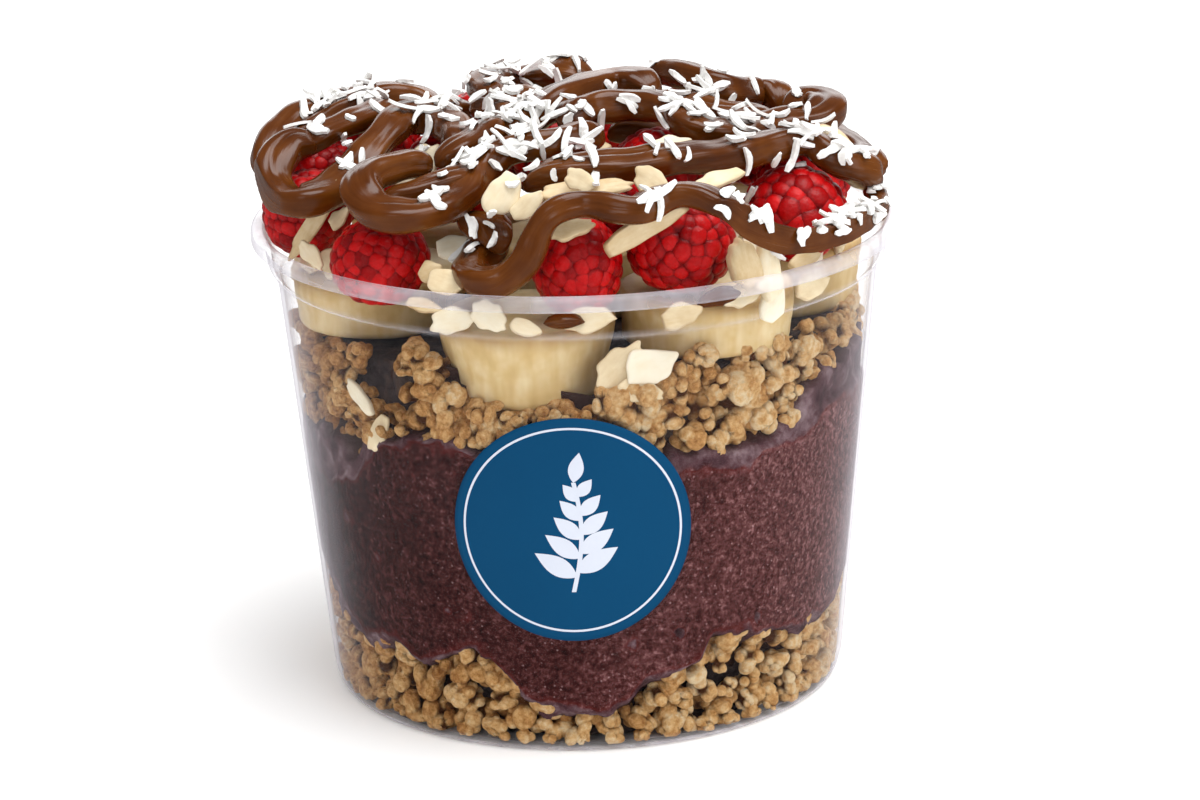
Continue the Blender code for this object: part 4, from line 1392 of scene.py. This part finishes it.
# ---------------------------------------------------------------- stage, light and camera
def add_stage():
    corners = [(-4000, -2500, 0), (4000, -2500, 0), (4000, 6000, 0), (-4000, 6000, 0)]
    floor = add_mesh("stage_floor", corners, [[0, 1, 2, 3]], stage_material(), smooth=False,
                     outward=False)


def add_area(name, place, target, size, power):
    """A white rectangular lamp that faces its target; places and sizes in metres, power in watts."""
    data = bpy.data.lights.new(name, "AREA")
    data.shape = "RECTANGLE"
    data.size, data.size_y = size
    data.energy = power
    lamp = bpy.data.objects.new(name, data)
    bpy.context.scene.collection.objects.link(lamp)
    lamp.location = place
    direction = Vector(target) - Vector(place)
    lamp.rotation_euler = direction.to_track_quat("-Z", "Y").to_euler()


def add_lights():
    """Even white surroundings for the floor, darker ones for reflections, and soft lamps above."""
    world = bpy.data.worlds.new("studio")
    bpy.context.scene.world = world
    world.use_nodes = True
    tree = world.node_tree
    background = tree.nodes["Background"]
    background.inputs["Color"].default_value = (1.0, 1.0, 1.0, 1.0)
    path = tree.nodes.new("ShaderNodeLightPath")
    level = tree.nodes.new("ShaderNodeMapRange")
    level.inputs["To Min"].default_value = 0.72
    level.inputs["To Max"].default_value = 0.14
    tree.links.new(path.outputs["Is Glossy Ray"], level.inputs["Value"])
    tree.links.new(level.outputs["Result"], background.inputs["Strength"])
    add_area("key", (0.30, -0.20, 1.30), (0.0, 0.0, 0.05), (1.00, 1.00), 17.0)
    add_area("front", (-0.35, -1.30, 0.75), (0.0, 0.0, 0.07), (0.50, 0.35), 1.5)
    add_area("side", (1.00, -0.75, 0.55), (0.0, 0.0, 0.06), (0.70, 0.70), 2.5)
    add_area("back", (0.05, 1.20, 0.42), (0.0, 0.0, 0.09), (1.90, 0.60), 7.0)


def add_camera():
    """Seen from a little above the front, with a slight roll; place in metres, angles in radians."""
    place = (0.0, -0.700, 0.2674)
    pan, pitch, roll = 0.0049, 0.3009, -0.0277
    forward = Vector((math.sin(pan) * math.cos(pitch), math.cos(pan) * math.cos(pitch),
                      -math.sin(pitch)))
    level = Vector((math.cos(pan), -math.sin(pan), 0.0))
    upright = level.cross(forward)
    right = level * math.cos(roll) + upright * math.sin(roll)
    up = upright * math.cos(roll) - level * math.sin(roll)
    data = bpy.data.cameras.new("camera")
    data.sensor_width = 36.0
    data.lens = 120.42
    data.clip_start = 0.05
    camera = bpy.data.objects.new("camera", data)
    bpy.context.scene.collection.objects.link(camera)
    basis = Matrix((right, up, -forward)).transposed().to_4x4()
    basis.translation = Vector(place)
    camera.matrix_world = basis
    bpy.context.scene.camera = camera


def main():
    add_camera()
    add_stage()
    add_lights()
    bpy.context.scene.view_settings.view_transform = "Standard"
    add_tub()
    add_label()
    add_acai()
    add_granola_bottom()
    add_granola_top()
    for index, slice_size in enumerate(BANANAS, 1):
        add_banana(index, slice_size)
    for index, berry in enumerate(RASPBERRIES, 1):
        add_raspberry(index, berry)
    for index, waypoints in enumerate(STRANDS, 1):
        add_strand(index, waypoints)
    add_trickles()
    add_almonds()
    add_coconut()


main()
